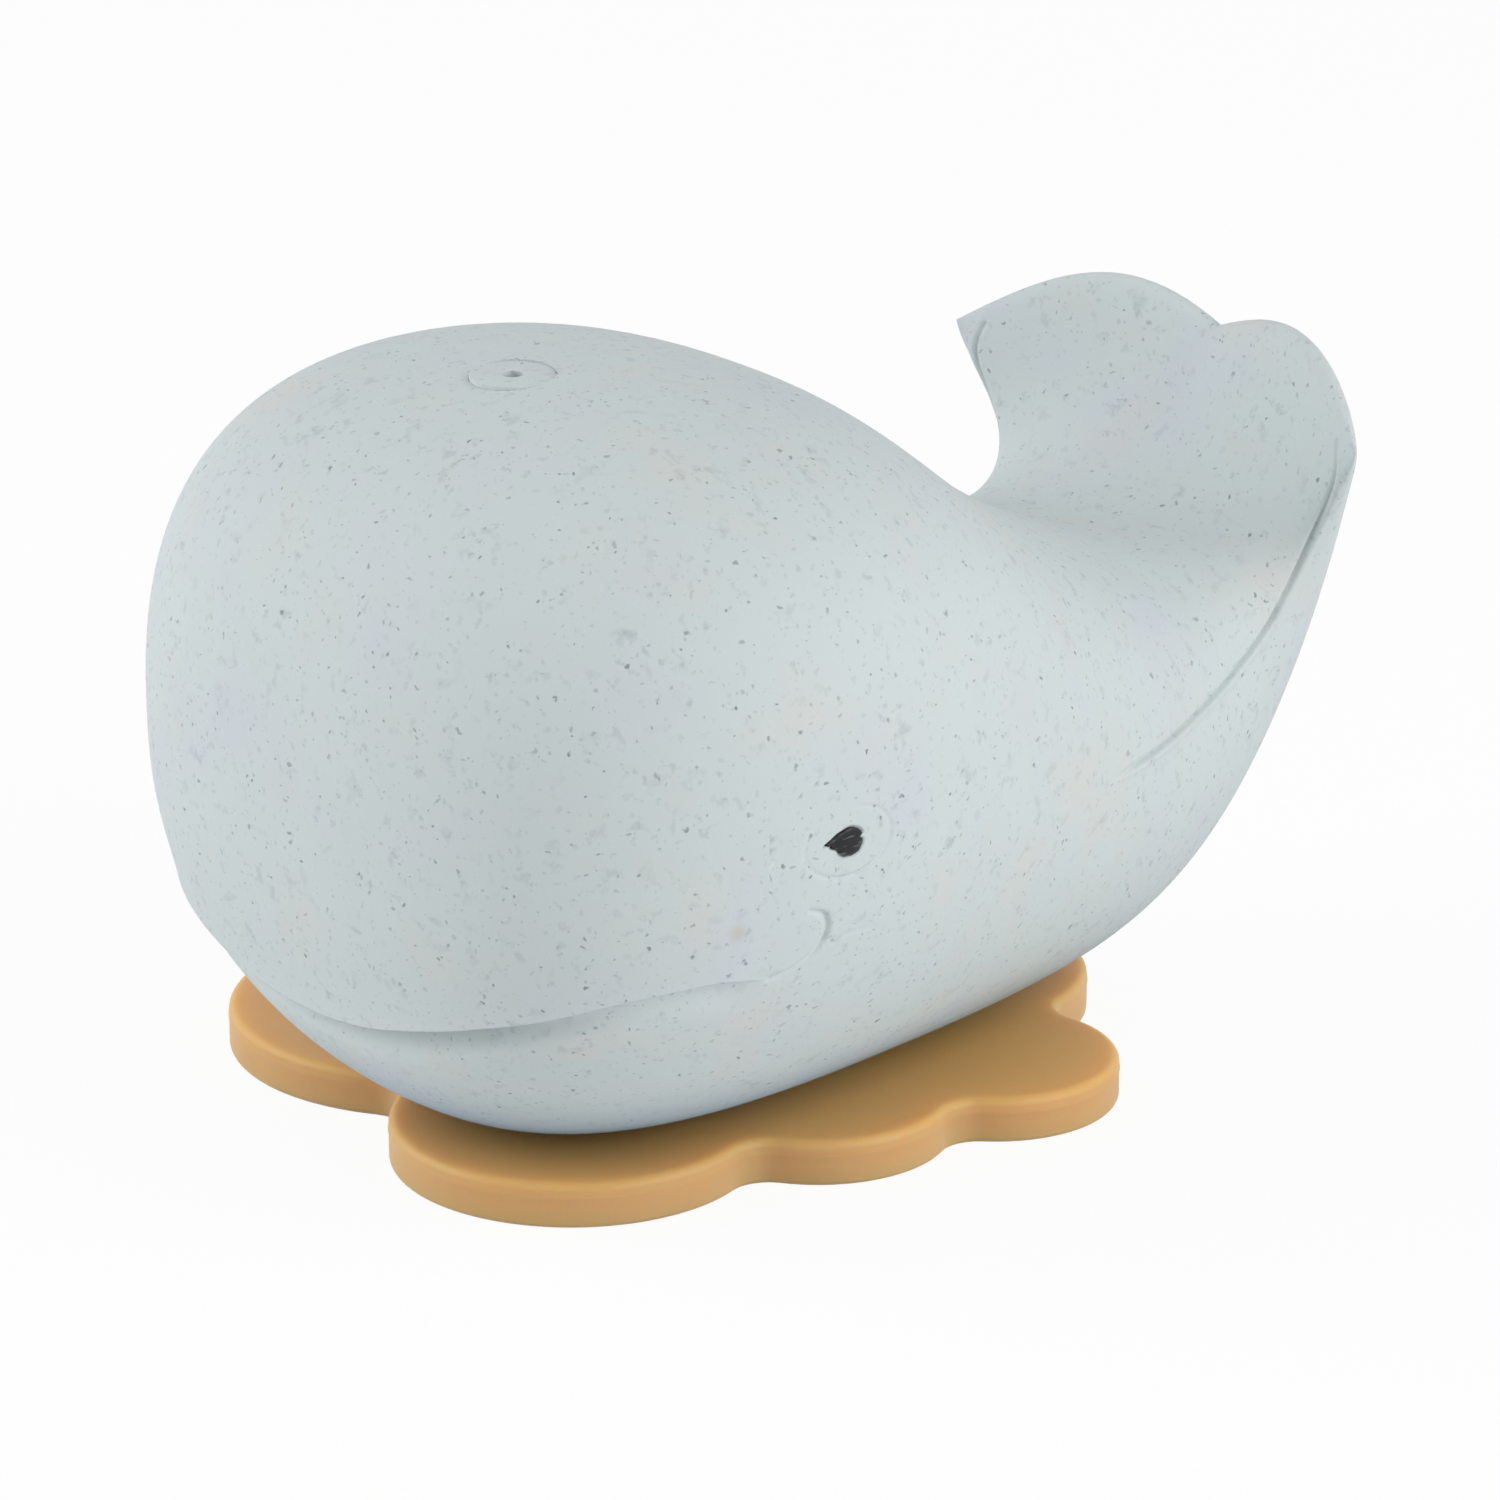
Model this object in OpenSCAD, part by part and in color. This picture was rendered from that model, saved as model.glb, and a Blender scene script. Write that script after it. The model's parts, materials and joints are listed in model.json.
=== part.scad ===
// Squeeze whale for the bath: a hollow rubber whale that sits on a splash-shaped base.
// The base carries a plug that closes the port in the belly, and a squeaker sits in the crown.
// The head points towards -Y, the tail towards +Y and the left cheek towards +X.
// The origin lies on the plug's axis, in the flat underside of the base.

/* [Whale] */
// Length of the whale from its nose to its tail
whale_length = 134; // [115:1:155]
// Width of the whale over its cheeks
whale_width = 91; // [78:1:105]
// Height of the whale above its base
whale_height = 80; // [70:1:92]
// Thickness of the rubber wall
wall = 3; // [2:0.1:4]
// How far the lobes of the tail rise beside its notch
fluke_lobe = 4.1; // [0:0.1:5]
// How far the tips of the tail drop below its notch
fluke_drop = 4.7; // [0:0.1:7]
// How far the edges of the tail curl forward
fluke_curl = 9.7; // [2:0.1:11]

/* [Mouth] */
// Width of the groove along the mouth
mouth_w = 1.6; // [0.8:0.1:2.4]

/* [Eyes] */
// Length of an eye from its round end to its tip
eye_length = 5; // [3:0.1:7]
// Height of an eye
eye_height = 3; // [2:0.1:4]
// Thickness of an eye
eye_thick = 0.8; // [0.5:0.1:1.2]
// How far an eye stands proud of the cheek
eye_proud = 0.1; // [0:0.05:0.3]

/* [Splash base] */
// Span of the splash outline
base_span = 92; // [80:1:106]
// Radius of the round valleys between the lobes of the splash
valley_r = 4; // [2:0.1:5]
// Thickness of the plate
base_thick = 5; // [3:0.5:8]
// Diameter of the plug
plug_d = 24; // [16:1:30]
// Height of the plug above the plate
plug_h = 14; // [10:0.5:18]
// Height of the chamfer at the top of the plug
plug_chamfer = 1.5; // [0.5:0.1:3]
// Thickness of the neck round the belly port
neck_wall = 3; // [2:0.1:5]
// Height of that neck above the plate
neck_h = 10; // [6:0.5:13]

/* [Squeaker] */
// Diameter of the flange that shows on the crown
flange_d = 8.8; // [8:0.1:11]
// Thickness of the flange
flange_t = 1.2; // [0.8:0.1:1.5]
// Diameter of the sound hole
sound_hole_d = 2.2; // [1.4:0.1:3]
// Diameter of the waist that passes through the wall
waist_d = 6.6; // [5.5:0.1:7.4]
// How far the flat seat for the collar lies below the inside of the crown
seat_drop = 1.2; // [1:0.1:2]
// Width of the seat round the collar
seat_rim = 1.5; // [1:0.1:2.5]
// Diameter of the collar under the wall
collar_d = 11; // [10:0.1:14]
// Thickness of the collar
collar_t = 1.5; // [1:0.1:2.5]
// Inner diameter of the tube under the collar
tube_bore_d = 7; // [6.6:0.1:8]
// Thickness of the tube's wall
tube_wall = 1; // [0.6:0.1:1.4]
// Length of the tube
tube_h = 9.5; // [8.5:0.1:13]
// Length of the wedge
wedge_h = 4; // [3:0.1:5]
// Length of the reed above its root bar
reed_h = 6; // [4.5:0.1:6.6]
// Width of the reed
reed_w = 2.2; // [1.4:0.1:2.6]
// Thickness of the reed
reed_t = 0.2; // [0.1:0.02:0.24]
// Diameter of the reed's root bar
root_d = 0.8; // [0.6:0.05:1]
// Length of the root bar
root_w = 4.4; // [3.8:0.1:5]
// Width of the air channel that the reed swings in
channel_w = 2.8; // [2.7:0.1:3.4]
// Depth of the air channel
channel_d = 1.5; // [1:0.1:1.8]

/* [Fits] */
// Radial play of the plug in the belly port
plug_play = 0.06; // [0.02:0.01:0.1]
// Play all round the squeaker in the crown
squeaker_play = 0.1; // [0.05:0.01:0.2]
// Radial play of the reed holder and the wedge in the tube
tube_play = 0.04; // [0.02:0.01:0.1]
// Gap on each side of the plane in which the reed lies
reed_gap = 0.15; // [0.13:0.01:0.2]
// Radial play of the root bar in its seat
root_play = 0.05; // [0.02:0.01:0.08]
// Play round an eye in its recess
eye_play = 0.05; // [0.02:0.01:0.1]

/* [Hidden] */
$fn = 64;

// Overrun of every cut
overrun = 1;
// Colours
rubber_blue = "#c2cbcb";
rubber_amber = "#b98d52";
eye_black = "#33363a";
clear_white = "#e6e6df";
reed_film = "#d8d2b4";

// The whale is one skin over eleven stations, from the nose to the edge of the tail.
// Each station has the place of its upper point and its lower point along the length and
// above the plate, and its half width, as shares of the length, the height and the width.
station_shares = [
    [-0.445, 0.500, -0.445,  0.500, 0.000],
    [-0.420, 0.840, -0.420,  0.200, 0.325],
    [-0.295, 0.990, -0.290,  0.000, 0.470],
    [-0.120, 1.005, -0.120, -0.025, 0.510],
    [ 0.025, 0.945,  0.045, -0.020, 0.455],
    [ 0.135, 0.780,  0.195, -0.005, 0.385],
    [ 0.255, 0.660,  0.360,  0.040, 0.320],
    [ 0.365, 0.570,  0.500,  0.225, 0.245],
    [ 0.455, 0.605,  0.565,  0.505, 0.255],
    [ 0.500, 0.755,  0.559,  0.755, 0.340],
    [ 0.519, 0.840,  0.519,  0.840, 0.347]
];
// How much of the tail's curl each station has
curl_shares = [0, 0, 0, 0, 0, 0.04, 0.17, 0.33, 0.5, 1, 1];
// How much wider the upper half of each station is than its lower half
egg_shares = [0, 0, 0.1, 0.13, 0.12, 0.1, 0.1, 0.1, 0.05, 0, 0];
// Power of the rounded outline of each station, in its upper and its lower half
upper_powers = [2.5, 2.6, 2.6, 2.5, 2.3, 2.2, 2.1, 2.1, 2.1, 2.2, 2.3];
lower_powers = [2.2, 2.2, 2.1, 2.1, 2.1, 2.2, 2.3, 2.4, 2.3, 2.3, 2.4];
last_station = len(station_shares) - 1;

// Stations between which the skin runs, and the station at which the hollow ends
nose_end = 0.03;
tail_end = last_station - 0.06;
hollow_end = 6.9;
// Station at which the tail's lobes begin to form
fluke_start = 7;
// Rings and points of the outer and the inner skin
outer_rings = 40;
outer_points = 48;
inner_rings = 20;
inner_points = 32;
// Step with which the slope of the skin is measured, in stations and in degrees
slope_step = 0.05;
slope_turn = 1;

// Places on the skin, as a station and an angle round it from the left side upwards
crown_place = [2.5, 90];
eye_place = [2.72, 2];
mouth_places = [[0.96, 270], [0.98, 288], [1.05, 306], [1.25, 323.5], [1.63, 337.5], [2.07, 344],
                [2.42, 344.5], [2.56, 346.5], [2.66, 350], [2.68, 353.7], [2.61, 355.7]];
// Samples between two places of the mouth, and sides of its groove
mouth_steps = 3;
mouth_sides = 8;
// How much of the groove lies under the skin
mouth_depth_share = 0.3;

// Lobes of the splash outline, anticlockwise: place of the centre and radius, as shares of the span
lobe_shares = [
    [-0.323, -0.165, 0.242],
    [ 0.050, -0.264, 0.209],
    [ 0.180, -0.015, 0.153],
    [ 0.224,  0.214, 0.144],
    [-0.027,  0.337, 0.187],
    [-0.290,  0.275, 0.185],
    [-0.405,  0.060, 0.155]
];

// Sizes of the base and the belly port
plug_r = plug_d / 2;
port_r = plug_r + plug_play;
neck_r = port_r + neck_wall;

// Sizes and heights of the squeaker, from the skin of the crown downwards
crown_point = skin(crown_place[0], crown_place[1]);
crown_z = crown_point[2];
seat_z = crown_z - wall - seat_drop;
collar_top = seat_z - squeaker_play;
tube_top = collar_top - collar_t;
tube_bottom = tube_top - tube_h;
tube_bore_r = tube_bore_d / 2;
roof_z = tube_top;
half_plug_r = tube_bore_r - tube_play;
root_r = root_d / 2;
root_z = tube_bottom + root_d + root_r;
holder_top = root_z + reed_h + root_d;

// Stations in real sizes: upper y and z, lower y and z, half width, curl, egg and powers
function station(i) =
    let (s = station_shares[i])
    [s[0] * whale_length, base_thick + s[1] * whale_height,
     s[2] * whale_length, base_thick + s[3] * whale_height,
     s[4] * whale_width, curl_shares[i] * fluke_curl,
     egg_shares[i], upper_powers[i], lower_powers[i]];

// The station before the nose and the one after the tail mirror their neighbours
function turned(s, side) = [s[2], s[3], s[0], s[1], side * s[4], s[5], s[6], s[7], s[8]];
function station_or_mirror(i) =
    i < 0 ? turned(station(1), -1)
    : i > last_station ? turned(station(last_station - 1), 1)
    : station(i);

// Smooth blend of four stations
function blend_weights(f) =
    let (g = 1 - f)
    [pow(g, 3), 3 * pow(f, 3) - 6 * pow(f, 2) + 4, 3 * pow(g, 3) - 6 * pow(g, 2) + 4, pow(f, 3)] / 6;
function station_at(t) =
    let (i = min(floor(t), last_station - 1), w = blend_weights(t - i))
    w[0] * station_or_mirror(i - 1) + w[1] * station_or_mirror(i)
    + w[2] * station_or_mirror(i + 1) + w[3] * station_or_mirror(i + 2);

function signed_power(v, p) = sign(v) * pow(abs(v), p);
function ease(v) = let (c = max(0, min(1, v))) c * c * (3 - 2 * c);

// Point of the free skin at station t and angle a
function free_skin(t, a) =
    let (s = station_at(t),
         upper = [s[0], s[1]],
         lower = [s[2], s[3]],
         half = norm(upper - lower) / 2,
         up = (upper - lower) / (2 * half),
         power = 2 / ((s[7] + s[8]) / 2 + (s[7] - s[8]) / 2 * sin(a)),
         x = s[4] * signed_power(cos(a), power) * (1 + s[6] * sin(a)),
         side = min(1, abs(x) / s[4]),
         rise = half * signed_power(sin(a), power) + s[5] * side * side,
         tail = ease((t - fluke_start) / (last_station - fluke_start)),
         reach = tail * (fluke_lobe * sin(180 * side) - fluke_drop * side * side),
         place = (upper + lower) / 2 + rise * up + reach * [up[1], -up[0]])
    [x, place[0], place[1]];

// The belly is flat where it rests on the plate
function skin(t, a) = let (p = free_skin(t, a)) [p[0], p[1], max(p[2], base_thick)];

// Direction straight out of the skin
function skin_out(t, a) =
    let (t0 = max(t, nose_end + slope_step),
         along = free_skin(t0 + slope_step, a) - free_skin(t0 - slope_step, a),
         round = free_skin(t0, a + slope_turn) - free_skin(t0, a - slope_turn),
         out = cross(along, round))
    out / norm(out);

// Point of the hollow's skin, one wall thickness inside
function inner_skin(t, a) =
    let (p = free_skin(t, a) - wall * skin_out(t, a)) [p[0], p[1], max(p[2], base_thick + wall)];

// Triangles of a tube of rings that is closed round, with its two ends left open
function tube_faces(rings, points) =
    [for (i = [0 : rings - 2], j = [0 : points - 1], half = [0, 1])
        let (k = (j + 1) % points, a = i * points, b = a + points)
        half == 0 ? [a + j, b + k, b + j] : [a + j, a + k, b + k]];
// Triangles that close a ring straight across, from its left half to its right half
function cap_faces(first, points, flip) =
    [for (j = [0 : points / 2 - 1], half = [0, 1])
        let (a = first + j,
             b = first + j + 1,
             c = first + (2 * points - j - 1) % points,
             d = first + (2 * points - j) % points,
             f = half == 0 ? [a, b, c] : [a, c, d])
        flip ? [f[2], f[1], f[0]] : f];
function open_faces(faces) = [for (f = faces) if (f[0] != f[1] && f[1] != f[2] && f[2] != f[0]) f];

module rings_solid(rings) {
    points = len(rings[0]);
    count = len(rings);
    polyhedron(
        points = [for (r = rings, p = r) p],
        faces = open_faces(concat(
            tube_faces(count, points),
            cap_faces(0, points, true),
            cap_faces((count - 1) * points, points, false))));
}

module outer_form() {
    rings_solid([for (i = [0 : outer_rings - 1])
        let (t = nose_end + (tail_end - nose_end) * i / (outer_rings - 1))
        [for (j = [0 : outer_points - 1]) skin(t, 360 * j / outer_points)]]);
}

module hollow_form() {
    rings_solid([for (i = [0 : inner_rings - 1])
        let (t = nose_end + (hollow_end - nose_end) * i / (inner_rings - 1))
        [for (j = [0 : inner_points - 1]) inner_skin(t, 360 * j / inner_points)]]);
}

// Places along the mouth, from the right corner over the front to the left corner
function mouth_half(i) = i < 0 ? [mouth_places[-i][0], 540 - mouth_places[-i][1]] : mouth_places[i];
mouth_last = len(mouth_places) - 1;
function mouth_place(v) =
    let (i = min(floor(v), mouth_last - 1), f = v - i)
    mouth_half(i) * (1 - f) + mouth_half(i + 1) * f;
mouth_line = [for (n = [-mouth_last * mouth_steps : mouth_last * mouth_steps]) mouth_place(n / mouth_steps)];

// Groove of the mouth: a round cord along the skin, a little under it
module mouth_groove() {
    last = len(mouth_line) - 1;
    rings_solid([for (i = [0 : last])
        let (m = mouth_line[i],
             out = skin_out(m[0], m[1]),
             before = mouth_line[max(i - 1, 0)],
             after = mouth_line[min(i + 1, last)],
             along = skin(after[0], after[1]) - skin(before[0], before[1]),
             across = cross(out, along / norm(along)),
             centre = skin(m[0], m[1]) - mouth_depth_share * mouth_w / 2 * out)
        [for (j = [0 : mouth_sides - 1])
            let (a = 360 * j / mouth_sides)
            centre + mouth_w / 2 * (cos(a) * out + sin(a) * across)]]);
}

// Outline of an eye: a round end and a tip that points forward
module eye_outline(play) {
    r = eye_height / 2;
    tip = eye_length - r;
    lean = asin(r / tip);
    union() {
        circle(r = r + play);
        polygon([[0, -tip - play], [(r + play) * cos(lean), -(r + play) * sin(lean)],
                 [0, 0], [-(r + play) * cos(lean), -(r + play) * sin(lean)]]);
    }
}

// The left eye, or its recess when it gets play
module eye_form(play, extra) {
    place = skin(eye_place[0], eye_place[1]);
    out = skin_out(eye_place[0], eye_place[1]);
    translate(place)
        rotate([0, acos(out[2]), atan2(out[1], out[0])])
            translate([0, 0, eye_proud - eye_thick - play])
                linear_extrude(height = eye_thick + play + extra)
                    eye_outline(play);
}

module at_crown() {
    translate([0, crown_point[1], 0]) children();
}

module whale_shell() {
    color(rubber_blue)
        difference() {
            outer_form();
            difference() {
                hollow_form();
                translate([0, 0, base_thick])
                    cylinder(r = neck_r, h = neck_h);
                at_crown()
                    translate([0, 0, seat_z])
                        cylinder(r = collar_d / 2 + seat_rim, h = crown_z - seat_z);
            }
            translate([0, 0, base_thick - overrun])
                cylinder(r = port_r, h = neck_h + 2 * overrun);
            at_crown() {
                translate([0, 0, crown_z - flange_t - squeaker_play])
                    cylinder(d = flange_d + 2 * squeaker_play, h = flange_t + squeaker_play + overrun);
                translate([0, 0, seat_z - overrun])
                    cylinder(d = waist_d + 2 * squeaker_play, h = crown_z - seat_z + overrun);
            }
            mouth_groove();
            eye_form(eye_play, overrun);
            mirror([1, 0, 0]) eye_form(eye_play, overrun);
        }
}

// Lobes of the splash in real sizes, and the next one round
lobes = base_span * lobe_shares;
function lobe_centre(i) = [lobes[i][0], lobes[i][1]];
function next_lobe(i) = (i + 1) % len(lobes);

// Centre of the round valley between a lobe and the next one, outside both
function valley_centre(i) =
    let (from = lobe_centre(i),
         to = lobe_centre(next_lobe(i)),
         apart = norm(to - from),
         reach = lobes[i][2] + valley_r,
         next_reach = lobes[next_lobe(i)][2] + valley_r,
         along = (apart * apart + reach * reach - next_reach * next_reach) / (2 * apart),
         out = sqrt(reach * reach - along * along),
         way = (to - from) / apart)
    from + along * way + out * [way[1], -way[0]];

module splash_outline() {
    polygon([for (i = [0 : len(lobes) - 1]) lobe_centre(i)]);
    for (i = [0 : len(lobes) - 1]) {
        translate(lobe_centre(i))
            circle(r = lobes[i][2]);
        difference() {
            polygon([lobe_centre(i), valley_centre(i), lobe_centre(next_lobe(i))]);
            translate(valley_centre(i))
                circle(r = valley_r);
        }
    }
}

module splash_base() {
    color(rubber_amber)
        union() {
            linear_extrude(height = base_thick)
                splash_outline();
            rotate_extrude()
                polygon([[0, 0], [plug_r, 0],
                         [plug_r, base_thick + plug_h - plug_chamfer],
                         [plug_r - plug_chamfer, base_thick + plug_h],
                         [0, base_thick + plug_h]]);
        }
}

module left_eye() {
    color(eye_black) eye_form(0, 0);
}

module right_eye() {
    color(eye_black) mirror([1, 0, 0]) eye_form(0, 0);
}

module squeaker_sleeve() {
    hole_r = sound_hole_d / 2;
    tube_r = tube_bore_r + tube_wall;
    color(clear_white)
        at_crown()
            rotate_extrude()
                polygon([[hole_r, crown_z], [flange_d / 2, crown_z],
                         [flange_d / 2, crown_z - flange_t], [waist_d / 2, crown_z - flange_t],
                         [waist_d / 2, collar_top], [collar_d / 2, collar_top],
                         [collar_d / 2, tube_top], [tube_r, tube_top],
                         [tube_r, tube_bottom], [tube_bore_r, tube_bottom],
                         [tube_bore_r, roof_z], [hole_r, roof_z]]);
}

// Half of a round plug that fills the tube, on the side of the reed that side gives
module half_plug(side, h) {
    intersection() {
        translate([0, 0, tube_bottom])
            cylinder(r = half_plug_r, h = h);
        translate([-tube_bore_d / 2, side > 0 ? reed_gap : -reed_gap - tube_bore_d, tube_bottom - overrun])
            cube([tube_bore_d, tube_bore_d, h + 2 * overrun]);
    }
}

// Seat of the root bar, cut out of both half plugs
module root_seat() {
    translate([-root_w / 2 - root_play, 0, root_z])
        rotate([0, 90, 0])
            cylinder(d = root_d + 2 * root_play, h = root_w + 2 * root_play);
}

module squeaker_reed_holder() {
    color(clear_white)
        at_crown()
            difference() {
                half_plug(1, holder_top - tube_bottom);
                root_seat();
                translate([-channel_w / 2, 0, root_z])
                    cube([channel_w, channel_d, holder_top - root_z + overrun]);
            }
}

module squeaker_wedge() {
    color(clear_white)
        at_crown()
            difference() {
                half_plug(-1, wedge_h);
                root_seat();
                translate([-channel_w / 2, -channel_d, tube_bottom - overrun])
                    cube([channel_w, channel_d, wedge_h + 2 * overrun]);
            }
}

module squeaker_reed() {
    color(reed_film)
        at_crown()
            union() {
                translate([-root_w / 2, 0, root_z])
                    rotate([0, 90, 0])
                        cylinder(d = root_d, h = root_w);
                translate([-reed_w / 2, -reed_t / 2, root_z])
                    cube([reed_w, reed_t, reed_h]);
            }
}

whale_shell();
splash_base();
left_eye();
right_eye();
squeaker_sleeve();
squeaker_reed_holder();
squeaker_wedge();
squeaker_reed();
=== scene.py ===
"""Looks of a rubber bath whale, its splash base and its squeaker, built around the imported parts."""

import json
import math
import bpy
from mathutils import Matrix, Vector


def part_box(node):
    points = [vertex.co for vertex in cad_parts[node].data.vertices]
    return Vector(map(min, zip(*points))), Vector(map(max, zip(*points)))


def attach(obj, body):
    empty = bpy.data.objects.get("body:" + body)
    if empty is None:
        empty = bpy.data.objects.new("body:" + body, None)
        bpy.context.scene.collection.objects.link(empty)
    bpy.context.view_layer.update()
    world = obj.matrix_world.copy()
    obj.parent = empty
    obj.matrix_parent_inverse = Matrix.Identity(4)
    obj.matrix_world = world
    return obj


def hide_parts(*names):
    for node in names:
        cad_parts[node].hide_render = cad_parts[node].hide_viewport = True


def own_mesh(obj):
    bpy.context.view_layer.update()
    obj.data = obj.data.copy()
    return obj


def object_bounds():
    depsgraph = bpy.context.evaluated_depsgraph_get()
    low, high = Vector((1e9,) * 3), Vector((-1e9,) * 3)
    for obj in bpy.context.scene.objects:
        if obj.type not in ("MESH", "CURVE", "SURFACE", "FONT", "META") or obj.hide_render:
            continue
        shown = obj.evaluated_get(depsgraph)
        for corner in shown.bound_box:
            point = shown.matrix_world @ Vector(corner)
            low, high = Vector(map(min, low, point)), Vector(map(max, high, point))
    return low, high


bl_info = {
    "name": "Bath Whale",
    "version": (1, 0, 0),
    "blender": (4, 5, 0),
    "location": "View3D > Sidebar > Bath Whale",
    "description": "Builds a rubber bath whale, its splash base and its squeaker around the packed parts",
    "category": "Add Mesh",
}

import bmesh
import bpy
import numpy as np
from bpy.props import FloatProperty, FloatVectorProperty, PointerProperty
from mathutils import Vector, kdtree, noise

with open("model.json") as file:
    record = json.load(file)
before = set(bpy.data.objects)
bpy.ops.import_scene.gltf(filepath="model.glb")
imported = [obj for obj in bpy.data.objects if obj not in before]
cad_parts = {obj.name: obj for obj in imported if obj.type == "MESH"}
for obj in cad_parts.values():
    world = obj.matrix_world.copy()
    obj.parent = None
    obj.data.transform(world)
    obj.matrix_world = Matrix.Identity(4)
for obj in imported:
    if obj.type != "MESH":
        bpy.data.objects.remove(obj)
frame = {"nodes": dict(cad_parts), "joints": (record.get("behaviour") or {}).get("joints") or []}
CAD_BOX = [list(corner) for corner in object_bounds()]

MM = 0.001

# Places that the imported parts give
SHELL_LOW, SHELL_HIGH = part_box("whale_shell")
SLEEVE_LOW, SLEEVE_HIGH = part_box("squeaker_sleeve")
BASE_LOW, BASE_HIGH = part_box("splash_base")
REST_Z = SHELL_LOW.z
PORT = Vector((0, 0, REST_Z))
CROWN = Vector(((SLEEVE_LOW.x + SLEEVE_HIGH.x) / 2, (SLEEVE_LOW.y + SLEEVE_HIGH.y) / 2, SLEEVE_HIGH.z))
MIDDLE_Z = (SHELL_LOW.z + SHELL_HIGH.z) / 2
SQUEEZE = next(joint for joint in frame["joints"] if joint["name"] == "squeeze")["range_m"][1]

# The whale is one skin over eleven stations from the nose to the edge of the tail: upper point and
# lower point along the length and above the plate, and half width, as shares of the whale's sizes
STATION_SHARES = (
    (-0.445, 0.500, -0.445, 0.500, 0.000),
    (-0.420, 0.840, -0.420, 0.200, 0.325),
    (-0.295, 0.990, -0.290, 0.000, 0.470),
    (-0.120, 1.005, -0.120, -0.025, 0.510),
    (0.025, 0.945, 0.045, -0.020, 0.455),
    (0.135, 0.780, 0.195, -0.005, 0.385),
    (0.255, 0.660, 0.360, 0.040, 0.320),
    (0.365, 0.570, 0.500, 0.225, 0.245),
    (0.455, 0.605, 0.565, 0.505, 0.255),
    (0.500, 0.755, 0.559, 0.755, 0.340),
    (0.519, 0.840, 0.519, 0.840, 0.347),
)
CURL_SHARES = (0, 0, 0, 0, 0, 0.04, 0.17, 0.33, 0.5, 1, 1)
EGG_SHARES = (0, 0, 0.1, 0.13, 0.12, 0.1, 0.1, 0.1, 0.05, 0, 0)
UPPER_POWERS = (2.5, 2.6, 2.6, 2.5, 2.3, 2.2, 2.1, 2.1, 2.1, 2.3, 2.3)
LOWER_POWERS = (2.2, 2.2, 2.1, 2.1, 2.1, 2.2, 2.3, 2.4, 2.3, 2.3, 2.3)
LAST = len(STATION_SHARES) - 1
FLUKE_START = 7
HOLLOW_START = 0.03
HOLLOW_END = 6.9

# Lines and places on the left half of the skin, each as a station and an angle in degrees round it
MOUTH_LINE = (
    (0.96, 270), (0.98, 288), (1.05, 306), (1.25, 323.5), (1.63, 337.5), (2.07, 344), (2.42, 344.5),
)
SMILE_LINE = ((2.42, 344.5), (2.53, 345.8), (2.64, 348.2), (2.68, 351.2), (2.65, 353.6), (2.57, 354.6))
FOLD_LINE = ((2.67, 349.4), (2.82, 349.9), (3.01, 350.1))
CREASE_LINE = (
    (5.0, 2.4), (5.48, 5.2), (6.15, 8.6), (6.69, 9), (7.25, 8), (7.85, 9.5), (8.69, 14), (9.3, 28),
)
EYE_PLACE = (2.75, 1.4)
STAIN_PLACE = (2.21, 352.9)

# Lobes of the splash, anticlockwise: centre and radius as shares of its span
LOBE_SHARES = (
    (-0.323, -0.165, 0.242),
    (0.050, -0.264, 0.209),
    (0.180, -0.015, 0.153),
    (0.224, 0.214, 0.144),
    (-0.027, 0.337, 0.187),
    (-0.290, 0.275, 0.185),
    (-0.405, 0.060, 0.155),
)

# Heights on the side of the splash as shares of its thickness: the flat part and the moulding line on it
SIDE_SHARES = (0.45, 0.64)
FLASH_SHARES = (0.69, 0.74)

# Fineness of the sheets that become the outer and the inner skin
SEAM_ANGLE = math.radians(60)
OUTER_RINGS, OUTER_POINTS = 120, 144
INNER_RINGS, INNER_POINTS = 48, 72

# Finer mesh near moulded lines and round rims: how far it reaches and its longest edge
RELIEF_FINENESS = ((4.5 * MM, 1.1 * MM), (2.4 * MM, 0.55 * MM), (1.1 * MM, 0.3 * MM), (0.5 * MM, 0.15 * MM))
RIM_FINENESS = (1.5 * MM, 0.7 * MM)
MOST_HALVINGS = 8

OVAL_POINTS = 120
HALF_CIRCLE_POINTS = 90

# Fineness of the other pieces
ROUND_POINTS = 96
ROUNDING_STEPS = 5
EYE_POINTS = 288
EYE_INSETS = (0.06, 0.08, 0.16, 0.25, 0.25)
TOP_INSETS = (0.4 * MM, 1.2 * MM)

# Waver of the splash's upper edge, angle of the edges that are rounded, and gap that is closed
WAVES_PER_METRE = 110
SHARP_ANGLE = math.radians(60)
WELD = 0.002 * MM

# Softboxes: places in metres towards the camera, to the right in the picture and up, and their size
LIGHT_PLACES = {"right": (0.55, 0.95, 0.6), "left": (0, -1.15, 0.58)}
LIGHT_SIZE = 1.0

# Floor: half the length of its sides, and how far it lies below the base
FLOOR_REACH = 4.0
FLOOR_GAP = 0.05 * MM


def linear(red, green, blue):
    """Linear colour of a screen colour whose parts run from 0 to 255"""
    parts = (part / 255 for part in (red, green, blue))
    return tuple(p / 12.92 if p <= 0.04045 else ((p + 0.055) / 1.055) ** 2.4 for p in parts)


def size_prop(name, description, millimetres):
    """A length that a user may change"""
    return FloatProperty(
        name=name, description=description, default=millimetres * MM, unit="LENGTH", precision=5
    )


def angle_prop(name, description, degrees):
    """An angle that a user may change"""
    return FloatProperty(name=name, description=description, default=math.radians(degrees), subtype="ANGLE")


def power_prop(name, description, strength):
    """A light's strength that a user may change"""
    return FloatProperty(name=name, description=description, default=strength, min=0)


def colour_prop(name, description, *screen):
    """A colour that a user may change"""
    return FloatVectorProperty(
        name=name, description=description, default=linear(*screen), subtype="COLOR", min=0, max=1
    )


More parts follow.
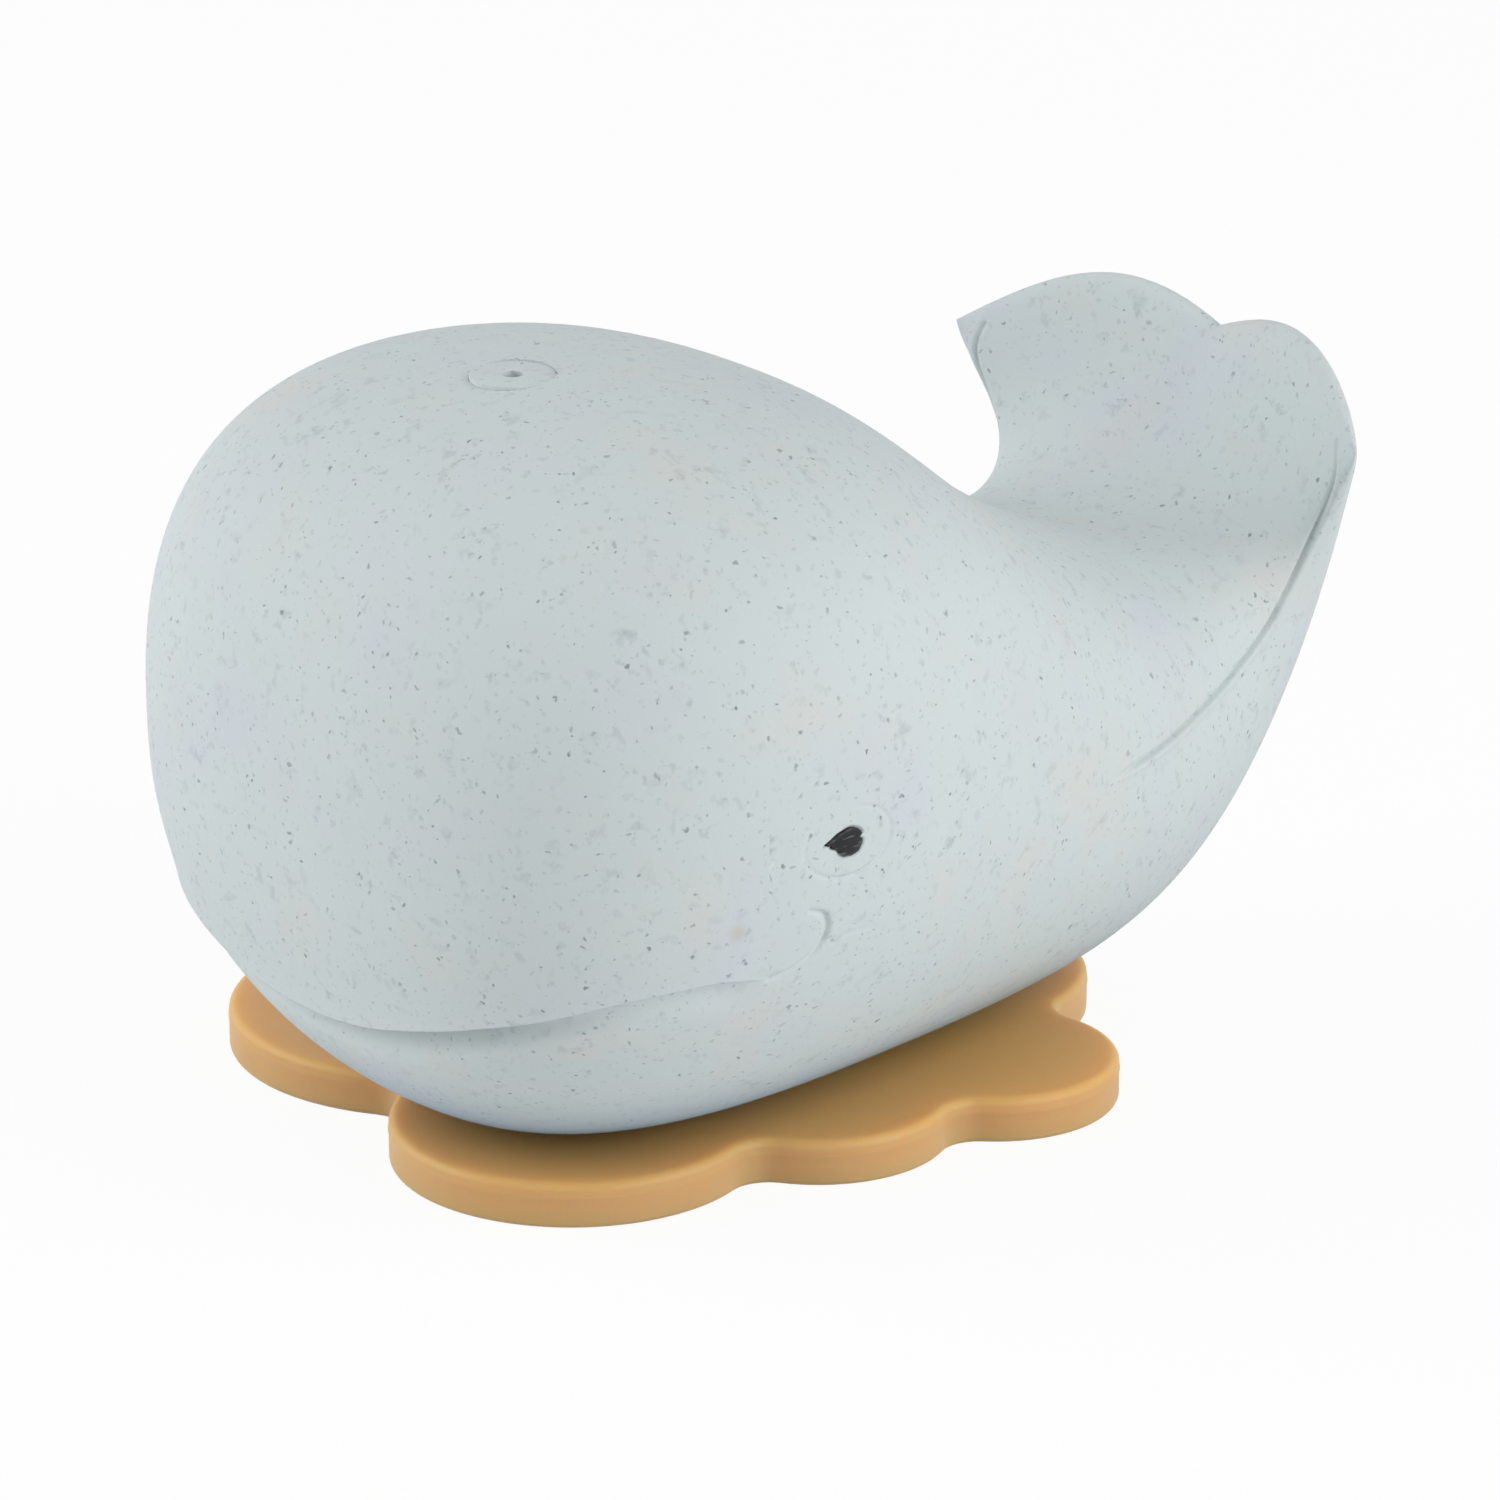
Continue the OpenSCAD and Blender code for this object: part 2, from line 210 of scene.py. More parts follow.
class WhaleSizes(bpy.types.PropertyGroup):
    """Sizes of the whale's rubber body and of what is moulded into it"""

    length: size_prop("Length", "From the nose to the tail", 134)
    width: size_prop("Width", "Over the cheeks", 91)
    height: size_prop("Height", "Above the splash base", 80)
    wall: size_prop("Wall", "Thickness of the rubber", 3)
    fluke_lobe: size_prop("Tail lobes", "How far the lobes of the tail rise beside its notch", 4.1)
    fluke_drop: size_prop("Tail drop", "How far the tips of the tail drop below its notch", 4.7)
    fluke_curl: size_prop("Tail curl", "How far the edges of the tail curl forward", 9.7)
    belly_round: size_prop("Belly rounding", "How softly the flat belly meets the sides", 0.8)
    jaw_depth: size_prop("Jaw depth", "How far the jaw lies behind the upper lip", 2.4)
    jaw_flat: size_prop("Jaw flat", "Height of the jaw's flat part under the lip", 1.2)
    jaw_fade: size_prop("Jaw fade", "Way over which the jaw comes back out", 3.2)
    lip_lift: size_prop("Lip lift", "How far the upper lip swells", 0.7)
    lip_fade: size_prop("Lip fade", "Way over which the swelling ends", 2.2)
    lip_edge: size_prop("Lip edge", "Width of the step under the lip", 0.45)
    smile_depth: size_prop("Smile depth", "Depth of the curl at a corner of the mouth", 0.5)
    smile_width: size_prop("Smile width", "Half width of that curl", 0.3)
    crease_depth: size_prop("Crease depth", "Depth of the crease along the tail", 0.6)
    crease_width: size_prop("Crease width", "Half width of that crease", 0.25)
    port_diameter: size_prop("Belly port", "Diameter of the port for the plug", 24.12)
    neck_wall: size_prop("Neck wall", "Thickness of the neck round the port", 3)
    neck_height: size_prop("Neck height", "Height of the neck above the splash base", 10)
    # Painted shade: how high the bluish darkening reaches up the body from the splash base
    foot_reach: size_prop("Foot reach", "Height of the bluish band low on the body", 14)
    stain_radius: size_prop("Stain", "Radius of the faint stain on the cheek", 1.4)
    stain_edge: size_prop("Stain edge", "Way over which the stain fades", 1)


class EyeSizes(bpy.types.PropertyGroup):
    """Sizes of the painted eyes and the oval round each of them"""

    length: size_prop("Length", "From the round end to the tip", 4.6)
    height: size_prop("Height", "Height of an eye", 3)
    proud: size_prop("Proud", "How far the paint stands out", 0.16)
    seat: size_prop("Seat", "Depth of the shallow seat under the paint", 0.3)
    oval_length: size_prop("Oval length", "Length of the faint oval", 10.6)
    oval_height: size_prop("Oval height", "Height of the faint oval", 7.4)
    oval_depth: size_prop("Oval depth", "Depth of the line along the oval", 0.2)
    oval_width: size_prop("Oval line", "Half width of that line", 0.22)


class SplashSizes(bpy.types.PropertyGroup):
    """Sizes of the splash base and its plug"""

    span: size_prop("Span", "Span of the splash outline", 92)
    valley: size_prop("Valleys", "Radius of the valleys between lobes", 4)
    top_edge: size_prop("Top edge", "Rounding of the upper edge", 0.9)
    bottom_edge: size_prop("Bottom edge", "Rounding of the lower edge", 0.7)
    flash: size_prop("Flash", "Height of the faint moulding line under the upper edge", 0.07)
    waver: size_prop("Waver", "How unevenly the upper edge is moulded", 0.12)
    step: size_prop("Step", "Length of the outline's edges", 0.9)
    plug_diameter: size_prop("Plug", "Diameter of the plug", 24)
    plug_chamfer: size_prop("Plug chamfer", "Chamfer at the top of the plug", 1.5)
    glow_depth: size_prop("Glow depth", "How deep light gets into the amber rubber", 8)


class SqueakerSizes(bpy.types.PropertyGroup):
    """Sizes of the squeaker's sleeve and of its place in the crown"""

    flange_diameter: size_prop("Flange", "Diameter of the flange on the crown", 8.8)
    flange_thickness: size_prop("Flange thickness", "Thickness of the flange", 1.2)
    hole: size_prop("Sound hole", "Diameter of the sound hole", 2.2)
    waist: size_prop("Waist", "Diameter of the waist", 6.6)
    collar_drop: size_prop("Collar drop", "From the crown down to the collar", 4.3)
    collar_thickness: size_prop("Collar", "Thickness of the collar under the wall", 1.5)
    tube_bore: size_prop("Tube bore", "Inner diameter of the tube", 7)
    tube_wall: size_prop("Tube wall", "Thickness of the tube", 1)
    seat_rim: size_prop("Seat rim", "Width of the seat round the collar", 1.5)
    play: size_prop("Play", "Play round the squeaker", 0.04)
    cushion: size_prop("Cushion", "Room under the flange for the rubber to give", 0.3)
    rounding: size_prop("Rounding", "Rounding of the sleeve's edges", 0.07)


class Colours(bpy.types.PropertyGroup):
    """Colours of the materials"""

    rubber: colour_prop("Whale rubber", "Pale blue-grey rubber", 199, 209, 209)
    lilac: colour_prop("Lilac tint", "Faint cool blotches in the rubber", 198, 203, 214)
    sand: colour_prop("Sand tint", "Faint warm blotches in the rubber", 207, 205, 200)
    slate: colour_prop("Slate specks", "Bluish specks in the rubber", 68, 90, 112)
    moss: colour_prop("Moss specks", "Greyish specks in the rubber", 94, 110, 118)
    # Painted shade: bluish darkening low on the body, where shade falls near the splash base, not a colour
    # of the rubber
    foot: colour_prop("Foot tint", "Bluish rubber low on the body", 86, 140, 176)
    stain: colour_prop("Stain", "Faint stain on the cheek", 190, 184, 170)
    # The rubber's own amber, partly lightened as painted light to make up for the shade on the plate under
    # the whale
    amber: colour_prop("Amber rubber", "Rubber of the splash base", 222, 171, 102)
    # Painted light: a lighter, less saturated tint on the sides of the base, set by facing rather than by
    # the rubber
    honey: colour_prop("Honey tint", "Paler rubber round the edge of the base", 207, 165, 112)
    paint: colour_prop("Eye paint", "Black paint of the eyes", 24, 26, 28)
    dry_paint: colour_prop("Dry paint", "Where the brush left less paint", 88, 92, 92)
    plastic: colour_prop("Squeaker plastic", "Milky plastic inside the squeaker", 222, 222, 214)
    film: colour_prop("Reed film", "Thin film of the reed", 214, 206, 178)
    floor: colour_prop("Floor", "Plain pale floor", 240, 240, 240)


class StageSettings(bpy.types.PropertyGroup):
    """Camera and light"""

    azimuth: angle_prop("Azimuth", "Side from which the camera looks", 49.48)
    elevation: angle_prop("Elevation", "How far the camera looks down", 20.12)
    distance: size_prop("Distance", "From the camera to the whale", 840.2)
    lens: FloatProperty(name="Lens", description="Focal length in millimetres", default=193.6, min=1)
    aim_height: size_prop("Aim height", "Height at which the camera looks", 40)
    aim_right: size_prop("Aim right", "How far to the right of the middle the camera looks", 2.69)
    aim_down: size_prop("Aim down", "How far below the middle the camera looks", 2.155)
    right: power_prop("Right light", "Power of the softbox on the right in watts", 9.4)
    left: power_prop("Left light", "Power of the softbox on the left in watts", 9.5)
    fill: power_prop("Fill light", "Strength of the light all round", 0.45)
    floor_glow: power_prop("Floor glow", "How much of the floor's shadow the camera doesn't see", 0.93)


class WhaleSettings(bpy.types.PropertyGroup):
    """All settings of the bath whale"""

    whale: PointerProperty(type=WhaleSizes, name="Whale", description="Sizes of the body")
    eyes: PointerProperty(type=EyeSizes, name="Eyes", description="Sizes of the eyes")
    splash: PointerProperty(type=SplashSizes, name="Splash", description="Sizes of the splash base")
    squeaker: PointerProperty(type=SqueakerSizes, name="Squeaker", description="Sizes of the squeaker")
    colours: PointerProperty(type=Colours, name="Colours", description="Colours of the materials")
    stage: PointerProperty(type=StageSettings, name="Stage", description="Camera and light")


def ease(value):
    """Smooth step from 0 to 1"""
    held = np.clip(value, 0, 1)
    return held * held * (3 - 2 * held)


def ramp(value, start, end):
    """Smooth step from 0 at the start to 1 at the end"""
    return ease((value - start) / (end - start))


def bell(value, width):
    """Smooth hill of height 1 about 0"""
    return np.exp(-((value / width) ** 2))


def signed_power(value, power):
    """Power that keeps the sign"""
    return np.sign(value) * np.abs(value) ** power


def unit(vectors):
    """Each row at length 1"""
    return vectors / np.linalg.norm(vectors, axis=-1, keepdims=True)


def point_tree(points):
    """A search tree of points"""
    tree = kdtree.KDTree(len(points))
    for index, point in enumerate(points):
        tree.insert(point, index)
    tree.balance()
    return tree


class Skin:
    """The whale's form: a point for each station along it and each angle round it"""

    slope_step = 0.02
    inset = 0.01
    find_steps = 8

    def __init__(self, sizes):
        self.sizes = sizes
        shares = np.array(STATION_SHARES)
        rows = np.column_stack((
            shares[:, 0] * sizes.length,
            REST_Z + shares[:, 1] * sizes.height,
            shares[:, 2] * sizes.length,
            REST_Z + shares[:, 3] * sizes.height,
            shares[:, 4] * sizes.width,
            np.array(CURL_SHARES) * sizes.fluke_curl,
            EGG_SHARES,
            UPPER_POWERS,
            LOWER_POWERS,
        ))
        before, after = rows[1].copy(), rows[-2].copy()
        before[[0, 1, 2, 3]] = rows[1][[2, 3, 0, 1]]
        before[4] = -rows[1][4]
        after[[0, 1, 2, 3]] = rows[-2][[2, 3, 0, 1]]
        self.rows = np.vstack((before, rows, after))

    def rows_at(self, station):
        """Smooth blend of the four rows round each station"""
        first = np.clip(np.floor(station).astype(int), 0, LAST - 1)
        f = (station - first)[:, None]
        g = 1 - f
        weights = (g**3, 3 * f**3 - 6 * f**2 + 4, 3 * g**3 - 6 * g**2 + 4, f**3)
        return sum(weight * self.rows[first + k] for k, weight in enumerate(weights)) / 6

    def free(self, station, angle):
        """Points of the skin before the belly is flattened"""
        row = self.rows_at(station)
        upper, lower = row[:, 0:2], row[:, 2:4]
        near = self.rows_at(np.clip(station, self.inset, LAST - self.inset))
        up = unit(near[:, 0:2] - near[:, 2:4])
        half = np.linalg.norm(upper - lower, axis=1) / 2
        sine, cosine = np.sin(angle), np.cos(angle)
        half_width, curl, egg = row[:, 4], row[:, 5], row[:, 6]
        power = 2 / ((row[:, 7] + row[:, 8]) / 2 + (row[:, 7] - row[:, 8]) / 2 * sine)
        x = half_width * signed_power(cosine, power) * (1 + egg * sine)
        side = np.minimum(1, np.abs(x) / np.maximum(np.abs(half_width), WELD))
        rise = half * signed_power(sine, power) + curl * side**2
        tail = ease((station - FLUKE_START) / (LAST - FLUKE_START))
        reach = tail * (self.sizes.fluke_lobe * np.sin(math.pi * side) - self.sizes.fluke_drop * side**2)
        middle = (upper + lower) / 2
        y = middle[:, 0] + rise * up[:, 0] + reach * up[:, 1]
        z = middle[:, 1] + rise * up[:, 1] - reach * up[:, 0]
        return np.column_stack((x, y, z))

    def point(self, station, angle):
        """Points of the skin, with the belly resting softly on the splash base"""
        made = self.free(station, angle)
        above = made[:, 2] - REST_Z
        made[:, 2] = REST_Z + (above + np.sqrt(above**2 + self.sizes.belly_round**2)) / 2
        return made

    def out(self, station, angle):
        """Directions straight out of the skin"""
        step = self.slope_step
        held = np.clip(station, 2 * step, LAST - 2 * step)
        along = self.free(held + step, angle) - self.free(held - step, angle)
        around = self.free(held, angle + step) - self.free(held, angle - step)
        return unit(np.cross(along, around))

    def inner(self, station, angle):
        """Points of the hollow inside, one wall from the skin"""
        made = self.free(station, angle) - self.sizes.wall * self.out(station, angle)
        made[:, 2] = np.maximum(made[:, 2], REST_Z + self.sizes.wall)
        return made

    def find(self, form, start, origin, axes, targets):
        """Stations and angles at which a form has these two coordinates along the two axes"""
        station, angle = start
        step = self.slope_step / 10

        def seen(t, a):
            return (form(t, a) - origin) @ axes.T

        for _ in range(self.find_steps):
            here = seen(station, angle)
            by_station = (seen(station + step, angle) - here) / step
            by_angle = (seen(station, angle + step) - here) / step
            miss = targets - here
            spread = by_station[:, 0] * by_angle[:, 1] - by_station[:, 1] * by_angle[:, 0]
            station = station + (miss[:, 0] * by_angle[:, 1] - miss[:, 1] * by_angle[:, 0]) / spread
            angle = angle + (by_station[:, 0] * miss[:, 1] - by_station[:, 1] * miss[:, 0]) / spread
        return station, angle


def on_skin(place, count=1):
    """A station and an angle in degrees, repeated as the arrays that the skin takes"""
    return np.full(count, float(place[0])), np.full(count, math.radians(place[1]))


class Line:
    """A line along the left half of the skin"""

    per_span = 40

    def __init__(self, skin, places):
        points = np.array([places[0], *places, places[-1]], float)
        points[0] = 2 * points[1] - points[2]
        points[-1] = 2 * points[-2] - points[-3]
        spans = len(places) - 1
        way = np.linspace(0, spans, spans * self.per_span + 1)
        span = np.minimum(way.astype(int), spans - 1)
        f = (way - span)[:, None]
        a, b, c, d = (points[span + k] for k in range(4))
        flow = b + f / 2 * (c - a + f * (2 * a - 5 * b + 4 * c - d + f * (3 * (b - c) + d - a)))
        station, angle = flow[:, 0], np.radians(flow[:, 1])
        self.points = skin.point(station, angle)
        along = np.gradient(self.points, axis=0)
        self.across = unit(np.cross(skin.out(station, angle), along))
        if self.across[:, 2].mean() < 0:
            self.across = -self.across
        run = np.concatenate(([0], np.cumsum(np.linalg.norm(np.diff(self.points, axis=0), axis=1))))
        self.share = run / run[-1]
        self.tree = point_tree(self.points)

    def measure(self, points):
        """Distance from the line, how far above it and the share of the way along it, for each point"""
        nearest = np.array([self.tree.find(point)[1] for point in points])
        offset = points - self.points[nearest]
        above = np.einsum("ij,ij->i", offset, self.across[nearest])
        return np.linalg.norm(offset, axis=1), above, self.share[nearest]


class EyeSpot:
    """The place of the left eye: its middle, the way out of the cheek, forward and upward"""

    def __init__(self, skin, sizes):
        self.sizes = sizes
        place = on_skin(EYE_PLACE)
        self.middle = skin.point(*place)[0]
        out = skin.out(*place)[0]
        up = unit(np.array((0, 0, 1)) - out[2] * out)
        self.axes = np.array((np.cross(up, out), up))
        if self.axes[0, 1] > 0:
            self.axes[0] *= -1

    def reach(self, turn):
        """From the eye's middle to its brushed outline, in a direction that is 0 forward"""
        radius = self.sizes.height / 2
        tip = self.sizes.length - 1.1 * radius
        flank = math.acos(radius / tip)
        drop = 1 / np.cos(np.maximum(0, flank - np.abs(turn - 0.08)))
        round_end = 1 + 0.1 * np.clip(-np.cos(turn), 0, 1)
        brushed = 0.02 * np.sin(5 * turn + 0.6) + 0.01 * np.sin(11 * turn + 2.1)
        swell = 0.1 * bell(turn - 0.7, 0.3)
        hollow = 0.14 * bell(turn + 0.35, 0.22)
        fork = 0.3 * bell(turn + 0.01, 0.045)
        nick = 0.38 * bell(turn - 2.92, 0.12)
        return radius * (drop * round_end + brushed + swell - hollow - fork - nick)

    def local(self, points):
        """Coordinates forward and upward from the eye's middle"""
        return (points - self.middle) @ self.axes.T

    def places(self, skin, turn, radius):
        """Stations and angles of points round the eye, each in a direction and at a distance"""
        targets = np.column_stack((np.cos(turn) * radius, np.sin(turn) * radius))
        return skin.find(skin.free, on_skin(EYE_PLACE, len(turn)), self.middle, self.axes, targets)


class Relief:
    """What is moulded into the skin: mouth, smile, tail crease and the seats of the eyes"""

    def __init__(self, skin, sizes, eyes):
        self.sizes = sizes
        self.mouth = Line(skin, MOUTH_LINE)
        self.smile = Line(skin, SMILE_LINE)
        self.fold = Line(skin, FOLD_LINE)
        self.crease = Line(skin, CREASE_LINE)
        self.eye = EyeSpot(skin, eyes)
        turn = np.linspace(0, 2 * math.pi, OVAL_POINTS, endpoint=False)
        oval = 1 / np.hypot(np.cos(turn) * 2 / eyes.oval_length, np.sin(turn) * 2 / eyes.oval_height)
        rings = [skin.point(*self.eye.places(skin, turn, radius)) for radius in (oval, self.eye.reach(turn))]
        lines = [line.points for line in (self.mouth, self.smile, self.fold, self.crease)]
        self.tree = point_tree(np.vstack(lines + rings))

    def height(self, points):
        """How far the skin stands out at each of its points"""
        left = np.column_stack((np.abs(points[:, 0]), points[:, 1], points[:, 2]))
        return self.mouth_height(left) + self.groove_height(left) + self.eye_height(left)

    def mouth_height(self, left):
        """The upper lip stands over the jaw, less and less towards the corner"""
        sizes = self.sizes
        _, above, along = self.mouth.measure(left)
        jaw = -sizes.jaw_depth * (1 - ease((-above - sizes.jaw_flat) / sizes.jaw_fade))
        lip = sizes.lip_lift * np.exp(-np.maximum(above, 0) / sizes.lip_fade)
        upper = ease(above / sizes.lip_edge + 0.5)
        strength = (1 - 0.75 * ramp(along, 0.4, 0.8)) * (1 - ramp(along, 0.9, 1))
        return strength * (upper * lip + (1 - upper) * jaw)

    def groove_height(self, left):
        """The curl at the corner of the mouth, the fold behind it and the crease along the tail"""
        sizes = self.sizes
        far, _, along = self.smile.measure(left)
        strength = 0.35 + 0.65 * ramp(along, 0.25, 0.65) - 0.6 * ramp(along, 0.8, 1)
        made = -sizes.smile_depth * strength * bell(far, sizes.smile_width)
        far, _, along = self.fold.measure(left)
        made -= 0.3 * sizes.smile_depth * (1 - along) * bell(far, sizes.smile_width)
        far, above, along = self.crease.measure(left)
        strength = ramp(along, 0, 0.15) * (1 - 0.6 * ramp(along, 0.8, 1))
        made -= sizes.crease_depth * strength * bell(far, sizes.crease_width)
        bead = bell(above / sizes.crease_width + 2.6, 1.6) * (far < 8 * sizes.crease_width)
        return made + 0.35 * sizes.crease_depth * strength * bead

    def eye_height(self, left):
        """The faint oval round the eye and the shallow seat of its paint"""
        eyes = self.eye.sizes
        flat = self.eye.local(left)
        far = np.hypot(flat[:, 0], flat[:, 1])
        turn = np.arctan2(flat[:, 1], flat[:, 0])
        near = (far < eyes.oval_length) & (left[:, 0] > 0.8 * self.eye.middle[0])
        stretch = np.hypot(flat[:, 0] / eyes.oval_length, flat[:, 1] / eyes.oval_height) * 2
        off = (stretch - 1) * eyes.oval_height / 2
        clear = 0.55 - 0.35 * np.sin(turn) - 0.3 * np.cos(turn)
        line = -eyes.oval_depth * clear * bell(off, eyes.oval_width)
        edge = 0.12 * eyes.height
        seat = -eyes.seat * ease((self.eye.reach(turn) + edge - far) / edge)
        return near * (line + seat)


def sheet(bm, rings, points, start, end):
    """A flat sheet whose vertices hold a station and an angle"""
    made = bmesh.ops.create_grid(bm, x_segments=rings, y_segments=points, size=1)["verts"]
    for vert in made:
        vert.co = (start + (vert.co.x + 1) / 2 * (end - start), SEAM_ANGLE + (vert.co.y + 1) * math.pi, 0)
    return made


def sheet_places(verts):
    """Stations and angles of the vertices of a sheet"""
    held = np.array([vert.co[:2] for vert in verts], float)
    return held[:, 0], held[:, 1]


def refine(bm, skin, tree, reach, longest):
    """Halves the edges within reach of some points until none of them is longer than the longest"""
    for _ in range(MOST_HALVINGS):
        bm.verts.index_update()
        at = skin.point(*sheet_places(bm.verts))
        at[:, 0] = np.abs(at[:, 0])
        edges = list(bm.edges)
        ends = np.array([(edge.verts[0].index, edge.verts[1].index) for edge in edges])
        lengths = np.linalg.norm(at[ends[:, 0]] - at[ends[:, 1]], axis=1)
        middles = (at[ends[:, 0]] + at[ends[:, 1]]) / 2
        chosen = [edges[i] for i in np.flatnonzero(lengths > longest) if tree.find(middles[i])[2] < reach]
        if not chosen:
            return
        bmesh.ops.subdivide_edges(bm, edges=chosen, cuts=1, use_grid_fill=True)
        uneven = [face for face in bm.faces if len(face.verts) > 4]
        bmesh.ops.triangulate(bm, faces=uneven, ngon_method="BEAUTY")


def circle_points(centre, radius):
    """Points along a level circle, on the left half"""
    turn = np.linspace(-math.pi / 2, math.pi / 2, HALF_CIRCLE_POINTS)
    level = np.full(len(turn), centre.z)
    return np.column_stack((centre.x + radius * np.cos(turn), centre.y + radius * np.sin(turn), level))


def open_circle(bm, skin, form, verts, centre, radius):
    """Cuts a hole that is round as seen from above into a sheet, and gives the vertices that are left"""
    upper = centre.z > MIDDLE_Z
    where = {vert: co for vert, co in zip(verts, form(*sheet_places(verts)))}
    faces = [face for face in bm.faces if face.verts[0] in where]
    middles = np.array([np.mean([where[vert] for vert in face.verts], axis=0) for face in faces])
    inside = np.hypot(middles[:, 0] - centre.x, middles[:, 1] - centre.y) < radius
    inside &= (middles[:, 2] > MIDDLE_Z) == upper
    bmesh.ops.delete(bm, geom=[faces[i] for i in np.flatnonzero(inside)], context="FACES")
    left = [vert for vert in verts if vert.is_valid]
    rim = [vert for vert in left if vert.is_boundary and (where[vert][2] > MIDDLE_Z) == upper]
    flat = np.array([where[vert][:2] - centre[:2] for vert in rim])
    close = np.abs(np.linalg.norm(flat, axis=1) - radius) < 0.3 * radius
    rim = [rim[i] for i in np.flatnonzero(close)]
    axes = np.eye(3)[:2]
    places = skin.find(form, sheet_places(rim), np.array(centre), axes, unit(flat[close]) * radius)
    for vert, station, angle in zip(rim, *places):
        vert.co = (station, angle, 0)
    return left


def lay_out(bm, verts, places):
    """Puts the vertices of a sheet at their places in space and closes its seam"""
    for vert, co in zip(verts, places):
        vert.co = co
    bmesh.ops.remove_doubles(bm, verts=verts, dist=WELD)


def open_edges(bm, centre, radius):
    """The open edges along a circle that is round as seen from above"""
    upper = centre.z > MIDDLE_Z
    return [
        edge
        for edge in bm.edges
        if edge.is_boundary
        and (edge.verts[0].co.z > MIDDLE_Z) == upper
        and abs(math.hypot(edge.verts[0].co.x - centre.x, edge.verts[0].co.y - centre.y) - radius) < WELD
    ]


def carry(bm, rim, centre, radius, height):
    """Extrudes a round rim to another radius and height, and gives the new rim"""
    made = bmesh.ops.extrude_edge_only(bm, edges=rim)["geom"]
    verts = {item for item in made if isinstance(item, bmesh.types.BMVert)}
    for vert in verts:
        way = Vector((vert.co.x - centre.x, vert.co.y - centre.y)).normalized() * radius
        vert.co = (centre.x + way.x, centre.y + way.y, height)
    return [item for item in made if isinstance(item, bmesh.types.BMEdge) and verts.issuperset(item.verts)]


def mark_sharp(edges):
    """Keeps edges crisp on a smooth surface"""
    for edge in edges:
        edge.smooth = False


def finish_faces(bm):
    """Turns all faces outward and shades them smooth"""
    bmesh.ops.recalc_face_normals(bm, faces=bm.faces)
    for face in bm.faces:
        face.smooth = True


def body_bmesh(whale, eyes, squeaker):
    """The hollow body: outer skin, belly port, squeaker seat and inner wall as one closed surface"""
    skin = Skin(whale)
    relief = Relief(skin, whale, eyes)
    port_r = whale.port_diameter / 2
    neck_r = port_r + whale.neck_wall
    recess_r = squeaker.flange_diameter / 2 + squeaker.play
    waist_r = squeaker.waist / 2 + squeaker.play
    seat_r = (SLEEVE_HIGH.x - SLEEVE_LOW.x) / 2 + squeaker.seat_rim

    bm = bmesh.new()
    sheet(bm, OUTER_RINGS, OUTER_POINTS, 0, LAST)
    for reach, longest in RELIEF_FINENESS:
        refine(bm, skin, relief.tree, reach, longest)
    rounds = np.vstack((circle_points(PORT, port_r), circle_points(CROWN, recess_r)))
    refine(bm, skin, point_tree(rounds), *RIM_FINENESS)
    outer = open_circle(bm, skin, skin.point, list(bm.verts), PORT, port_r)
    outer = open_circle(bm, skin, skin.point, outer, CROWN, recess_r)
    places = sheet_places(outer)
    at = skin.point(*places)
    for vert, co in zip(outer, at):
        vert.co = co
    bmesh.ops.triangulate(bm, faces=bm.faces, quad_method="SHORT_EDGE", ngon_method="BEAUTY")
    lay_out(bm, outer, at + skin.out(*places) * relief.height(at)[:, None])

    rim = open_edges(bm, PORT, port_r)
    neck_top = REST_Z + whale.neck_height
    neck_foot = REST_Z + whale.wall + 0.3 * whale.neck_wall
    for radius, height in ((port_r, neck_top), (neck_r, neck_top), (neck_r, neck_foot)):
        mark_sharp(rim)
        rim = carry(bm, rim, PORT, radius, height)
    seat = open_edges(bm, CROWN, recess_r)
    recess_z = CROWN.z - squeaker.flange_thickness - squeaker.cushion
    seat_z = CROWN.z - squeaker.collar_drop + squeaker.play
    for radius, height in ((recess_r, recess_z), (waist_r, recess_z), (waist_r, seat_z), (seat_r, seat_z)):
        mark_sharp(seat)
        seat = carry(bm, seat, CROWN, radius, height)

    taken = set(rim + seat)
    inner = sheet(bm, INNER_RINGS, INNER_POINTS, HOLLOW_START, HOLLOW_END)
    inner = open_circle(bm, skin, skin.inner, inner, PORT, neck_r)
    inner = open_circle(bm, skin, skin.inner, inner, CROWN, seat_r)
    lay_out(bm, inner, skin.inner(*sheet_places(inner)))
    rim += [edge for edge in open_edges(bm, PORT, neck_r) if edge not in taken]
    seat += [edge for edge in open_edges(bm, CROWN, seat_r) if edge not in taken]
    bmesh.ops.bridge_loops(bm, edges=rim)
    bmesh.ops.bridge_loops(bm, edges=seat)
    bmesh.ops.holes_fill(bm, edges=[edge for edge in bm.edges if edge.is_boundary], sides=0)
    finish_faces(bm)
    return bm


